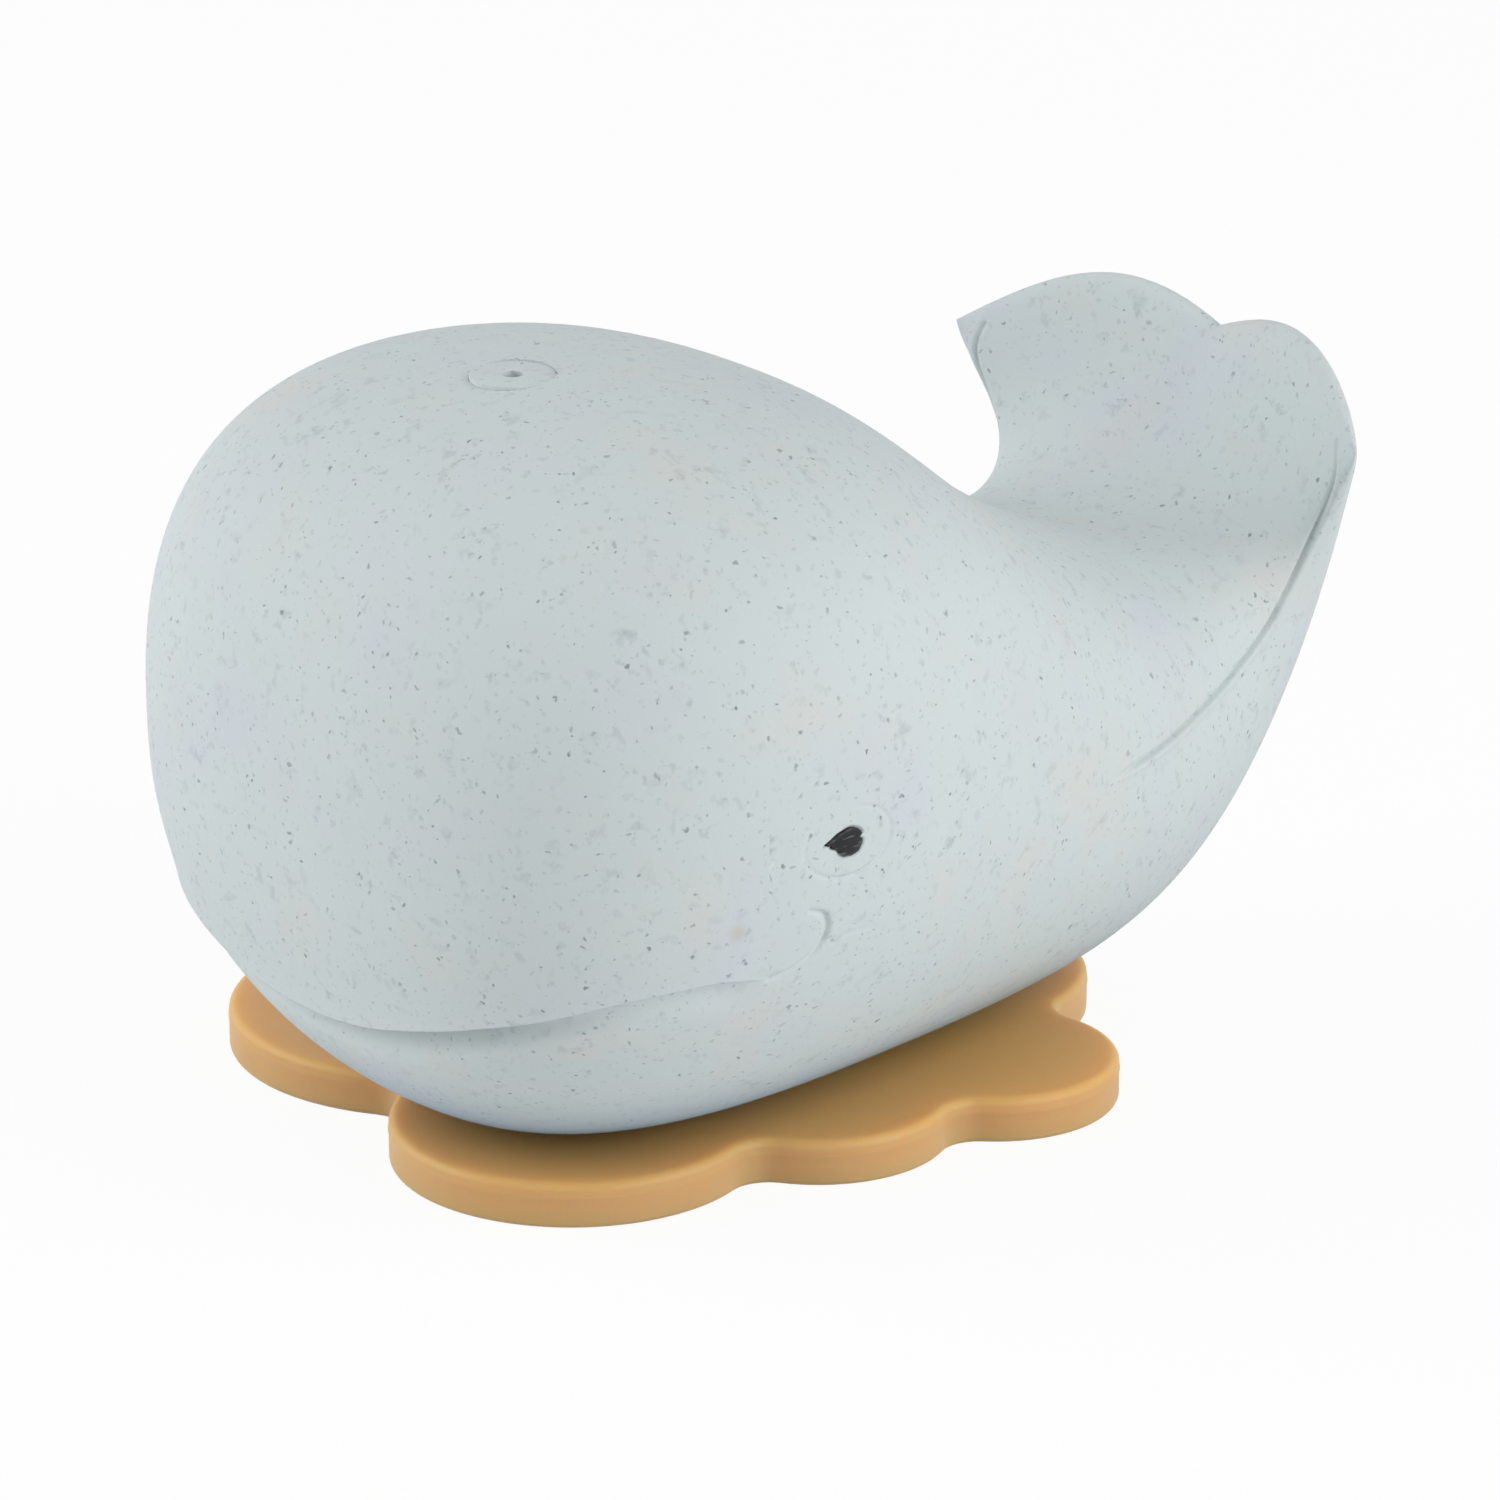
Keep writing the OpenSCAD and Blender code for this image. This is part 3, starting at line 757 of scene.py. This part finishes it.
def eye_bmesh(whale, eyes, side):
    """One painted eye: a brushed drop of paint that swells a little over its shallow seat"""
    skin = Skin(whale)
    spot = EyeSpot(skin, eyes)
    bm = bmesh.new()
    bmesh.ops.create_circle(bm, cap_ends=True, segments=EYE_POINTS, radius=1)
    for inset in EYE_INSETS:
        middle = max(bm.faces, key=lambda face: len(face.verts))
        bmesh.ops.inset_region(bm, faces=[middle], thickness=inset, use_boundary=True, use_even_offset=True)
    bmesh.ops.poke(bm, faces=[max(bm.faces, key=lambda face: len(face.verts))])
    rim = [edge for edge in bm.edges if edge.is_boundary]
    made = bmesh.ops.extrude_edge_only(bm, edges=rim)["geom"]
    under = {item for item in made if isinstance(item, bmesh.types.BMVert)}
    bmesh.ops.holes_fill(bm, edges=[edge for edge in bm.edges if edge.is_boundary], sides=0)

    flat = np.array([vert.co[:2] for vert in bm.verts])
    rho = np.minimum(np.linalg.norm(flat, axis=1), 1)
    turn = np.arctan2(flat[:, 1], flat[:, 0])
    places = spot.places(skin, turn, rho * spot.reach(turn))
    swell = eyes.proud * (1 - rho**6 + 0.02 * np.sin(9 * turn + 4 * rho))
    lift = np.where([vert in under for vert in bm.verts], -0.9 * eyes.seat, swell)
    at = skin.point(*places) + skin.out(*places) * lift[:, None]
    for vert, co in zip(bm.verts, at):
        vert.co = (side * co[0], co[1], co[2])
    finish_faces(bm)
    return bm


def splash_arcs(splash):
    """Arcs of the splash outline in turn, lobes and valleys: centre, radius, start angle and turn"""
    lobes = [(Vector((x, y)) * splash.span, r * splash.span) for x, y, r in LOBE_SHARES]
    after = lobes[1:] + lobes[:1]
    valleys = []
    for (centre, radius), (other, other_radius) in zip(lobes, after):
        way = other - centre
        reach, other_reach = radius + splash.valley, other_radius + splash.valley
        along = (way.length_squared + reach**2 - other_reach**2) / (2 * way.length)
        out = math.sqrt(reach**2 - along**2)
        way.normalize()
        valleys.append(centre + along * way + out * Vector((way.y, -way.x)))
    arcs = []
    before = valleys[-1:] + valleys
    for (centre, radius), (other, _), valley, valley_before in zip(lobes, after, valleys, before):
        start = math.atan2(*(valley_before - centre).yx)
        turn = (math.atan2(*(valley - centre).yx) - start) % (2 * math.pi)
        arcs.append((centre, radius, start, turn))
        start = math.atan2(*(centre - valley).yx)
        turn = (math.atan2(*(other - valley).yx) - start) % (2 * math.pi) - 2 * math.pi
        arcs.append((valley, -splash.valley, start, turn))
    return arcs


def splash_loop(bm, arcs, splash, inset, height):
    """One closed loop of edges along the splash outline, moved inwards by inset"""
    before = set(bm.edges)
    centre, radius, start, _ = arcs[0]
    reach = radius - inset
    first = bm.verts.new((centre.x + reach * math.cos(start), centre.y + reach * math.sin(start), height))
    vert = first
    for centre, radius, _, turn in arcs:
        spun = bmesh.ops.spin(
            bm, geom=[vert], cent=(centre.x, centre.y, height), axis=(0, 0, 1), angle=turn,
            steps=max(6, round(abs(turn * radius) / splash.step)),
        )
        vert = next(item for item in spun["geom_last"] if isinstance(item, bmesh.types.BMVert))
    bmesh.ops.pointmerge(bm, verts=[first, vert], merge_co=first.co)
    return [edge for edge in bm.edges if edge not in before]


def splash_bmesh(splash):
    """The splash base: a lobed plate with soft edges, and the plug on it"""
    thick = REST_Z - BASE_LOW.z
    arcs = splash_arcs(splash)
    top, low = splash.top_edge, splash.bottom_edge
    quarter = [math.pi / 2 * k / ROUNDING_STEPS for k in range(ROUNDING_STEPS + 1)]
    profile = [(low * (1 - math.sin(turn)), low * (1 - math.cos(turn))) for turn in quarter]
    profile += [(0, share * thick) for share in SIDE_SHARES]
    profile += [(-splash.flash, FLASH_SHARES[0] * thick), (0, FLASH_SHARES[1] * thick)]
    profile += [(top * (1 - math.cos(turn)), thick - top * (1 - math.sin(turn))) for turn in quarter]
    profile += [(top + inset, thick) for inset in TOP_INSETS]

    bm = bmesh.new()
    loops = []
    for inset, height in profile:
        loop = splash_loop(bm, arcs, splash, inset, BASE_LOW.z + height)
        uneven = splash.waver * ease(height / thick * 4 - 3) * (inset <= top)
        for vert in {vert for edge in loop for vert in edge.verts}:
            vert.co.z -= uneven * abs(noise.noise(vert.co * WAVES_PER_METRE))
        loops.append(loop)
    bmesh.ops.contextual_create(bm, geom=loops[0])
    for lower, upper in zip(loops, loops[1:]):
        bmesh.ops.bridge_loops(bm, edges=lower + upper)

    plug_r = splash.plug_diameter / 2
    ring = bmesh.ops.create_circle(bm, cap_ends=False, segments=ROUND_POINTS, radius=plug_r)["verts"]
    bmesh.ops.translate(bm, verts=ring, vec=(0, 0, REST_Z))
    rim = list(dict.fromkeys(edge for vert in ring for edge in vert.link_edges))
    bmesh.ops.triangle_fill(bm, edges=loops[-1] + rim, use_beauty=True)
    chamfer = splash.plug_chamfer
    for radius, height in (
        (plug_r, BASE_HIGH.z - chamfer), (plug_r - chamfer, BASE_HIGH.z), (plug_r - 2 * chamfer, BASE_HIGH.z)
    ):
        mark_sharp(rim)
        rim = carry(bm, rim, PORT, radius, height)
    bmesh.ops.contextual_create(bm, geom=rim)
    finish_faces(bm)
    return bm


def sleeve_bmesh(squeaker):
    """The squeaker's sleeve: flange, waist, collar and tube turned about the squeaker's axis"""
    hole_r, flange_r, waist_r = squeaker.hole / 2, squeaker.flange_diameter / 2, squeaker.waist / 2
    bore_r = squeaker.tube_bore / 2
    tube_r = bore_r + squeaker.tube_wall
    collar_r = (SLEEVE_HIGH.x - SLEEVE_LOW.x) / 2
    top, foot = CROWN.z, SLEEVE_LOW.z
    under = top - squeaker.flange_thickness
    collar_top = top - squeaker.collar_drop
    tube_top = collar_top - squeaker.collar_thickness
    profile = (
        (hole_r, top), (flange_r, top), (flange_r, under), (waist_r, under), (waist_r, collar_top),
        (collar_r, collar_top), (collar_r, tube_top), (tube_r, tube_top), (tube_r, foot),
        (bore_r, foot), (bore_r, tube_top), (hole_r, tube_top),
    )
    bm = bmesh.new()
    verts = [bm.verts.new((CROWN.x + radius, CROWN.y, height)) for radius, height in profile]
    edges = [bm.edges.new(pair) for pair in zip(verts, verts[1:] + verts[:1])]
    bmesh.ops.spin(
        bm, geom=verts + edges, cent=CROWN, axis=(0, 0, 1), angle=2 * math.pi, steps=ROUND_POINTS,
        use_merge=True,
    )
    bmesh.ops.remove_doubles(bm, verts=bm.verts, dist=WELD)
    finish_faces(bm)
    bmesh.ops.bevel(
        bm, geom=[edge for edge in bm.edges if edge.is_convex and edge.calc_face_angle() > SHARP_ANGLE],
        offset=squeaker.rounding, offset_type="OFFSET", affect="EDGES", segments=3, profile=0.5, material=-1,
        clamp_overlap=True,
    )
    finish_faces(bm)
    return bm


class Wire:
    """A node's socket, with which shader maths is written as an expression"""

    def __init__(self, nodes, socket):
        self.nodes = nodes
        self.socket = socket

    def also(self, name):
        """Another output of the same node"""
        return Wire(self.nodes, self.socket.node.outputs[name])

    def calc(self, operation, first, second):
        """One step of arithmetic"""
        return self.nodes.make("ShaderNodeMath", {"operation": operation}, {0: first, 1: second})

    def held(self):
        """The value kept between 0 and 1"""
        return self.nodes.make("ShaderNodeClamp", {}, {"Value": self})

    def __add__(self, other):
        return self.calc("ADD", self, other)

    def __sub__(self, other):
        return self.calc("SUBTRACT", self, other)

    def __rsub__(self, other):
        return self.calc("SUBTRACT", other, self)

    def __mul__(self, other):
        return self.calc("MULTIPLY", self, other)

    def __truediv__(self, other):
        return self.calc("DIVIDE", self, other)

    def __pow__(self, other):
        return self.calc("POWER", self, other)

    def __lt__(self, other):
        return self.calc("LESS_THAN", self, other)

    __radd__ = __add__
    __rmul__ = __mul__


class Nodes:
    """The nodes of a material or of the world"""

    def __init__(self, tree):
        self.tree = tree

    def make(self, kind, settings, values, output=None):
        """A node with its settings and the values or links of its sockets, as the wire of an output"""
        node = self.tree.nodes.new(kind)
        for name, value in settings.items():
            setattr(node, name, value)
        sockets = [socket for socket in node.inputs if socket.enabled]
        for key, value in values.items():
            socket = sockets[key] if isinstance(key, int) else next(s for s in sockets if s.name == key)
            self.feed(socket, value)
        return Wire(self, next(s for s in node.outputs if s.enabled and output in (None, s.name)))

    def feed(self, socket, value):
        """Links a wire to a socket, or sets a plain value on it"""
        if isinstance(value, Wire):
            self.tree.links.new(value.socket, socket)
        elif socket.type == "RGBA":
            socket.default_value = (*value, 1)
        else:
            socket.default_value = value

    def mix(self, factor, first, second):
        """A colour between two colours"""
        return self.make("ShaderNodeMix", {"data_type": "RGBA"}, {"Factor": factor, "A": first, "B": second})

    def blend(self, factor, first, second):
        """A shader between two shaders"""
        return self.make("ShaderNodeMixShader", {}, {0: factor, 1: first, 2: second})

    def seen(self):
        """1 for what the camera sees, straight, in a reflection or through glass"""
        camera = self.make("ShaderNodeLightPath", {}, {}, "Is Camera Ray")
        return (camera + camera.also("Is Glossy Ray") + camera.also("Is Transmission Ray")).held()


class Finish(Nodes):
    """A procedural material"""

    def __init__(self, name, **constants):
        self.material = bpy.data.materials.new(name)
        self.material.use_nodes = True
        super().__init__(self.material.node_tree)
        self.shader = self.tree.nodes["Principled BSDF"]
        for socket, value in constants.items():
            self.give(socket.replace("_", " "), value)
        self.place = self.make("ShaderNodeTexCoord", {}, {}, "Object")

    def give(self, socket, value):
        """Feeds a socket of the surface shader"""
        self.feed(self.shader.inputs[socket], value)

    def noise(self, per_metre, detail=2.0, place=None):
        """Soft noise from 0 to 1"""
        values = {"Vector": place or self.place, "Scale": per_metre, "Detail": detail}
        return self.make("ShaderNodeTexNoise", {}, values)

    def shaken(self, per_metre, reach):
        """The place with a small random offset"""
        offset = self.noise(per_metre).also("Color")
        values = {0: offset, 1: (reach,) * 3, 2: self.place}
        return self.make("ShaderNodeVectorMath", {"operation": "MULTIPLY_ADD"}, values)

    def bump(self, height, strength, distance):
        """Small relief"""
        self.give("Normal", self.make(
            "ShaderNodeBump", {}, {"Strength": strength, "Distance": distance, "Height": height}
        ))

    def speckle(self, colour, place, per_metre, share, largest, strength, tints):
        """A colour with random specks in it, whose largest radius is a share of their spacing"""
        cell = self.make("ShaderNodeTexVoronoi", {}, {"Vector": place, "Scale": per_metre}, "Distance")
        chance = self.make("ShaderNodeSeparateColor", {}, {"Color": cell.also("Color")}, "Red")
        tone, size = chance.also("Green"), chance.also("Blue")
        radius = largest * (0.3 + 0.7 * size**2)
        cover = ((radius - cell) / (0.4 * largest)).held() * (chance < share)
        return self.mix(cover * (0.2 + 0.8 * tone**2) * strength, colour, self.mix(size, *tints))

    def smudge(self, colour, place, per_metre, start, strength, tint):
        """A colour with soft random smudges in it"""
        cover = ((self.noise(per_metre, place=place) - start) * 7).held()
        return self.mix(cover * strength, colour, tint)


def whale_rubber(colours, skin):
    """Matte speckled rubber with painted bluish shade low on the body, and a faint stain on the left cheek
    """
    sizes = skin.sizes
    finish = Finish("speckled_rubber", Specular_IOR_Level=0.25)
    colour = colours.rubber
    for tint, per_metre, start, strength in ((colours.lilac, 70, 1.8, 0.45), (colours.sand, 95, 2.1, 0.5)):
        blotches = (finish.noise(per_metre) * 4 - start).held()
        colour = finish.mix(blotches * strength, colour, tint)
    height = finish.make("ShaderNodeSeparateXYZ", {}, {"Vector": finish.place}, "Z")
    # Painted shade: darker and bluish towards the splash base, where shade falls round the contact
    low = (1 - (height - REST_Z) / sizes.foot_reach).held()
    colour = finish.mix(low**1.5, colour, colours.foot)
    stain = tuple(skin.point(*on_skin(STAIN_PLACE))[0])
    ends = {0: finish.place, 1: stain}
    apart = finish.make("ShaderNodeVectorMath", {"operation": "DISTANCE"}, ends, "Value")
    stained = ((sizes.stain_radius - apart) / sizes.stain_edge).held()
    colour = finish.mix(stained * 0.55, colour, colours.stain)
    place = finish.shaken(per_metre=750, reach=1.6 * MM)
    crowd = (finish.noise(120) * 2.2 - 0.45).held()
    colour = finish.smudge(colour, place, 520, start=0.6, strength=0.2 * crowd, tint=colours.slate)
    colour = finish.smudge(colour, finish.place, 900, start=0.63, strength=0.22, tint=colours.moss)
    tints = (colours.slate, colours.moss)
    for per_metre, share, largest, strength in (
        (1200, 0.5 + 0.5 * crowd, 0.34, 0.7), (700, 0.3 + 0.5 * crowd, 0.24, 0.75)
    ):
        colour = finish.speckle(colour, place, per_metre, share, largest, strength, tints)
    finish.give("Base Color", colour)
    finish.give("Roughness", 0.6 + 0.15 * finish.noise(300))
    finish.bump(finish.noise(1400, detail=3.0), strength=0.12, distance=0.2 * MM)
    return finish.material


def amber_rubber(colours, splash):
    """Satin amber rubber with faint clouds, and painted light by facing that makes the sides lighter than
    the top
    """
    finish = Finish(
        "amber_rubber", Specular_IOR_Level=0.35, Subsurface_Weight=0.7,
        Subsurface_Radius=(1, 0.5, 0.2), Subsurface_Scale=splash.glow_depth,
    )
    facing = finish.make("ShaderNodeNewGeometry", {}, {}, "Normal")
    level = finish.make("ShaderNodeSeparateXYZ", {}, {"Vector": facing}, "Z")
    clouds = (finish.noise(90, detail=3.0) * 2.4 - 0.7).held()
    # Painted light by facing: the sides take the lighter tint and the top the amber, with random clouds
    # mixed in
    side_light_and_clouds = (1 - level * 0.8 + clouds * 0.3 - 0.15).held()
    colour = finish.mix(side_light_and_clouds, colours.amber, colours.honey)
    grain = finish.noise(1800)
    finish.give("Base Color", finish.mix(grain * 0.2, colour, colours.amber))
    finish.give("Roughness", 0.42 + 0.15 * finish.noise(400))
    finish.bump(finish.noise(350, detail=3.0), strength=0.15, distance=0.3 * MM)
    return finish.material


def eye_paint(colours):
    """Glossy black paint with brush streaks"""
    finish = Finish("black_paint", Specular_IOR_Level=0.3)
    stretched = {0: finish.place, 1: (1, 0.3, 1)}
    along = finish.make("ShaderNodeVectorMath", {"operation": "MULTIPLY"}, stretched)
    streaks = finish.noise(2600, place=along)
    finish.give("Base Color", finish.mix((streaks * 6 - 3.5).held(), colours.paint, colours.dry_paint))
    finish.give("Roughness", 0.25 + 0.25 * streaks)
    finish.bump(streaks, strength=0.3, distance=0.1 * MM)
    return finish.material


def plain_finish(name, colour, roughness):
    """Matte moulded plastic or film with a fine grain"""
    finish = Finish(name)
    finish.give("Base Color", finish.mix(finish.noise(600) * 0.25, colour, [0.8 * part for part in colour]))
    finish.give("Roughness", roughness + 0.1 * finish.noise(900))
    return finish.material


def add_piece(name, bm, material, body, slot, *nodes):
    """Makes a piece that rides on a body and stands for CAD nodes, which it hides; its slot is not used"""
    mesh = bpy.data.meshes.new(name)
    bm.to_mesh(mesh)
    bm.free()
    mesh.materials.append(material)
    piece = bpy.data.objects.new(name, mesh)
    bpy.context.scene.collection.objects.link(piece)
    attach(piece, body)
    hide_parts(*nodes)
    return piece


def soften(piece):
    """Gives a piece a mesh of its own"""
    1 - SQUEEZE / (CROWN.z - REST_Z)
    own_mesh(piece)


def new_object(name, data, location=(0, 0, 0), aim=None):
    """A stage object, turned towards a point"""
    made = bpy.data.objects.new(name, data)
    made.location = location
    if aim is not None:
        made.rotation_euler = (Vector(aim) - made.location).to_track_quat("-Z", "Y").to_euler()
    bpy.context.scene.collection.objects.link(made)
    return made


class MakeBody(bpy.types.Operator):
    """Make the whale's hollow rubber body"""

    bl_idname = "bath_whale.make_body"
    bl_label = "Body"

    def execute(self, context):
        settings = context.scene.bath_whale
        bm = body_bmesh(settings.whale, settings.eyes, settings.squeaker)
        rubber = whale_rubber(settings.colours, Skin(settings.whale))
        soften(add_piece("whale_body", bm, rubber, "whale", "whale_rubber", "whale_shell"))
        return {"FINISHED"}


class MakeEyes(bpy.types.Operator):
    """Make the two painted eyes"""

    bl_idname = "bath_whale.make_eyes"
    bl_label = "Eyes"

    def execute(self, context):
        settings = context.scene.bath_whale
        paint = eye_paint(settings.colours)
        for name, side in (("left_eye", 1), ("right_eye", -1)):
            bm = eye_bmesh(settings.whale, settings.eyes, side)
            soften(add_piece(name + "_paint", bm, paint, "whale", "eye_paint", name))
        return {"FINISHED"}


class MakeSplash(bpy.types.Operator):
    """Make the splash base with its plug"""

    bl_idname = "bath_whale.make_splash"
    bl_label = "Splash base"

    def execute(self, context):
        settings = context.scene.bath_whale
        bm = splash_bmesh(settings.splash)
        amber = amber_rubber(settings.colours, settings.splash)
        add_piece("splash", bm, amber, "base", "base_rubber", "splash_base")
        return {"FINISHED"}


class MakeSqueaker(bpy.types.Operator):
    """Make the squeaker's sleeve and finish the pieces inside it"""

    bl_idname = "bath_whale.make_squeaker"
    bl_label = "Squeaker"

    def execute(self, context):
        settings = context.scene.bath_whale
        colours = settings.colours
        bm = sleeve_bmesh(settings.squeaker)
        rubber = bpy.data.materials["speckled_rubber"]
        add_piece("sleeve", bm, rubber, "squeaker", "squeaker_plastic", "squeaker_sleeve")
        plastic = plain_finish("milky_plastic", colours.plastic, 0.4)
        film = plain_finish("clear_film", colours.film, 0.3)
        for node, material, slot in (
            ("squeaker_reed_holder", plastic, "squeaker_plastic"),
            ("squeaker_wedge", plastic, "squeaker_plastic"),
            ("squeaker_reed", film, "reed_film"),
        ):
            piece = frame["nodes"][node]
            piece.data.materials.clear()
            piece.data.materials.append(material)
        return {"FINISHED"}


class MakeStage(bpy.types.Operator):
    """Make the camera, the lights, the floor and the white surroundings"""

    bl_idname = "bath_whale.make_stage"
    bl_label = "Stage"

    def execute(self, context):
        scene = context.scene
        stage = scene.bath_whale.stage
        scene.view_settings.view_transform = "Standard"

        turn, tilt = stage.azimuth, stage.elevation
        right = Vector((math.cos(turn), math.sin(turn), 0))
        back = Vector((math.sin(turn) * math.cos(tilt), -math.cos(turn) * math.cos(tilt), math.sin(tilt)))
        aim = Vector((0, 0, stage.aim_height)) + stage.aim_right * right
        aim -= stage.aim_down * back.cross(right)
        camera = bpy.data.cameras.new("camera")
        camera.lens = stage.lens
        scene.camera = new_object("camera", camera, aim + stage.distance * back, aim)

        front = Vector((back.x, back.y, 0)).normalized()
        for side, (towards, beside, height) in LIGHT_PLACES.items():
            light = bpy.data.lights.new(side + "_light", "AREA")
            light.energy = getattr(stage, side)
            light.size = LIGHT_SIZE
            place = towards * front + beside * right + Vector((0, 0, height))
            new_object(side + "_light", light, place, aim)

        bm = bmesh.new()
        bmesh.ops.create_grid(bm, x_segments=1, y_segments=1, size=FLOOR_REACH)
        bmesh.ops.translate(bm, verts=bm.verts, vec=(0, 0, CAD_BOX[0][2] - FLOOR_GAP))
        mesh = bpy.data.meshes.new("floor")
        bm.to_mesh(mesh)
        bm.free()
        finish = Finish("floor", Base_Color=scene.bath_whale.colours.floor, Roughness=0.9)
        white = finish.make("ShaderNodeEmission", {}, {"Color": (1, 1, 1), "Strength": 1.0})
        plain = Wire(finish, finish.shader.outputs[0])
        surface = finish.blend(finish.seen() * stage.floor_glow, plain, white)
        finish.feed(finish.tree.nodes["Material Output"].inputs["Surface"], surface)
        mesh.materials.append(finish.material)
        new_object("floor", mesh)

        world = bpy.data.worlds.new("world")
        world.use_nodes = True
        nodes = Nodes(world.node_tree)
        fill = nodes.make("ShaderNodeBackground", {}, {"Color": (1, 1, 1), "Strength": stage.fill})
        white = nodes.make("ShaderNodeBackground", {}, {"Color": (1, 1, 1), "Strength": 1.0})
        surface = nodes.blend(nodes.seen(), fill, white)
        nodes.feed(nodes.tree.nodes["World Output"].inputs["Surface"], surface)
        scene.world = world
        return {"FINISHED"}


OPERATORS = (MakeBody, MakeEyes, MakeSplash, MakeSqueaker, MakeStage)


class WhalePanel(bpy.types.Panel):
    """Sizes, colours and buttons of the bath whale"""

    bl_idname = "VIEW3D_PT_bath_whale"
    bl_label = "Bath Whale"
    bl_space_type = "VIEW_3D"
    bl_region_type = "UI"
    bl_category = "Bath Whale"

    def draw(self, context):
        settings = context.scene.bath_whale
        for name in WhaleSettings.__annotations__:
            box = self.layout.box()
            box.label(text=settings.bl_rna.properties[name].name)
            group = getattr(settings, name)
            for prop in type(group).__annotations__:
                box.prop(group, prop)
        for operator in OPERATORS:
            self.layout.operator(operator.bl_idname)


CLASSES = (
    WhaleSizes, EyeSizes, SplashSizes, SqueakerSizes, Colours, StageSettings, WhaleSettings,
    *OPERATORS, WhalePanel,
)


def register():
    for cls in CLASSES:
        bpy.utils.register_class(cls)
    bpy.types.Scene.bath_whale = PointerProperty(type=WhaleSettings)


def unregister():
    del bpy.types.Scene.bath_whale
    for cls in reversed(CLASSES):
        bpy.utils.unregister_class(cls)


def main():
    """Builds every piece and the stage"""
    register()
    bpy.ops.bath_whale.make_body()
    bpy.ops.bath_whale.make_eyes()
    bpy.ops.bath_whale.make_splash()
    bpy.ops.bath_whale.make_squeaker()
    bpy.ops.bath_whale.make_stage()


if __name__ == "__main__":
    main()
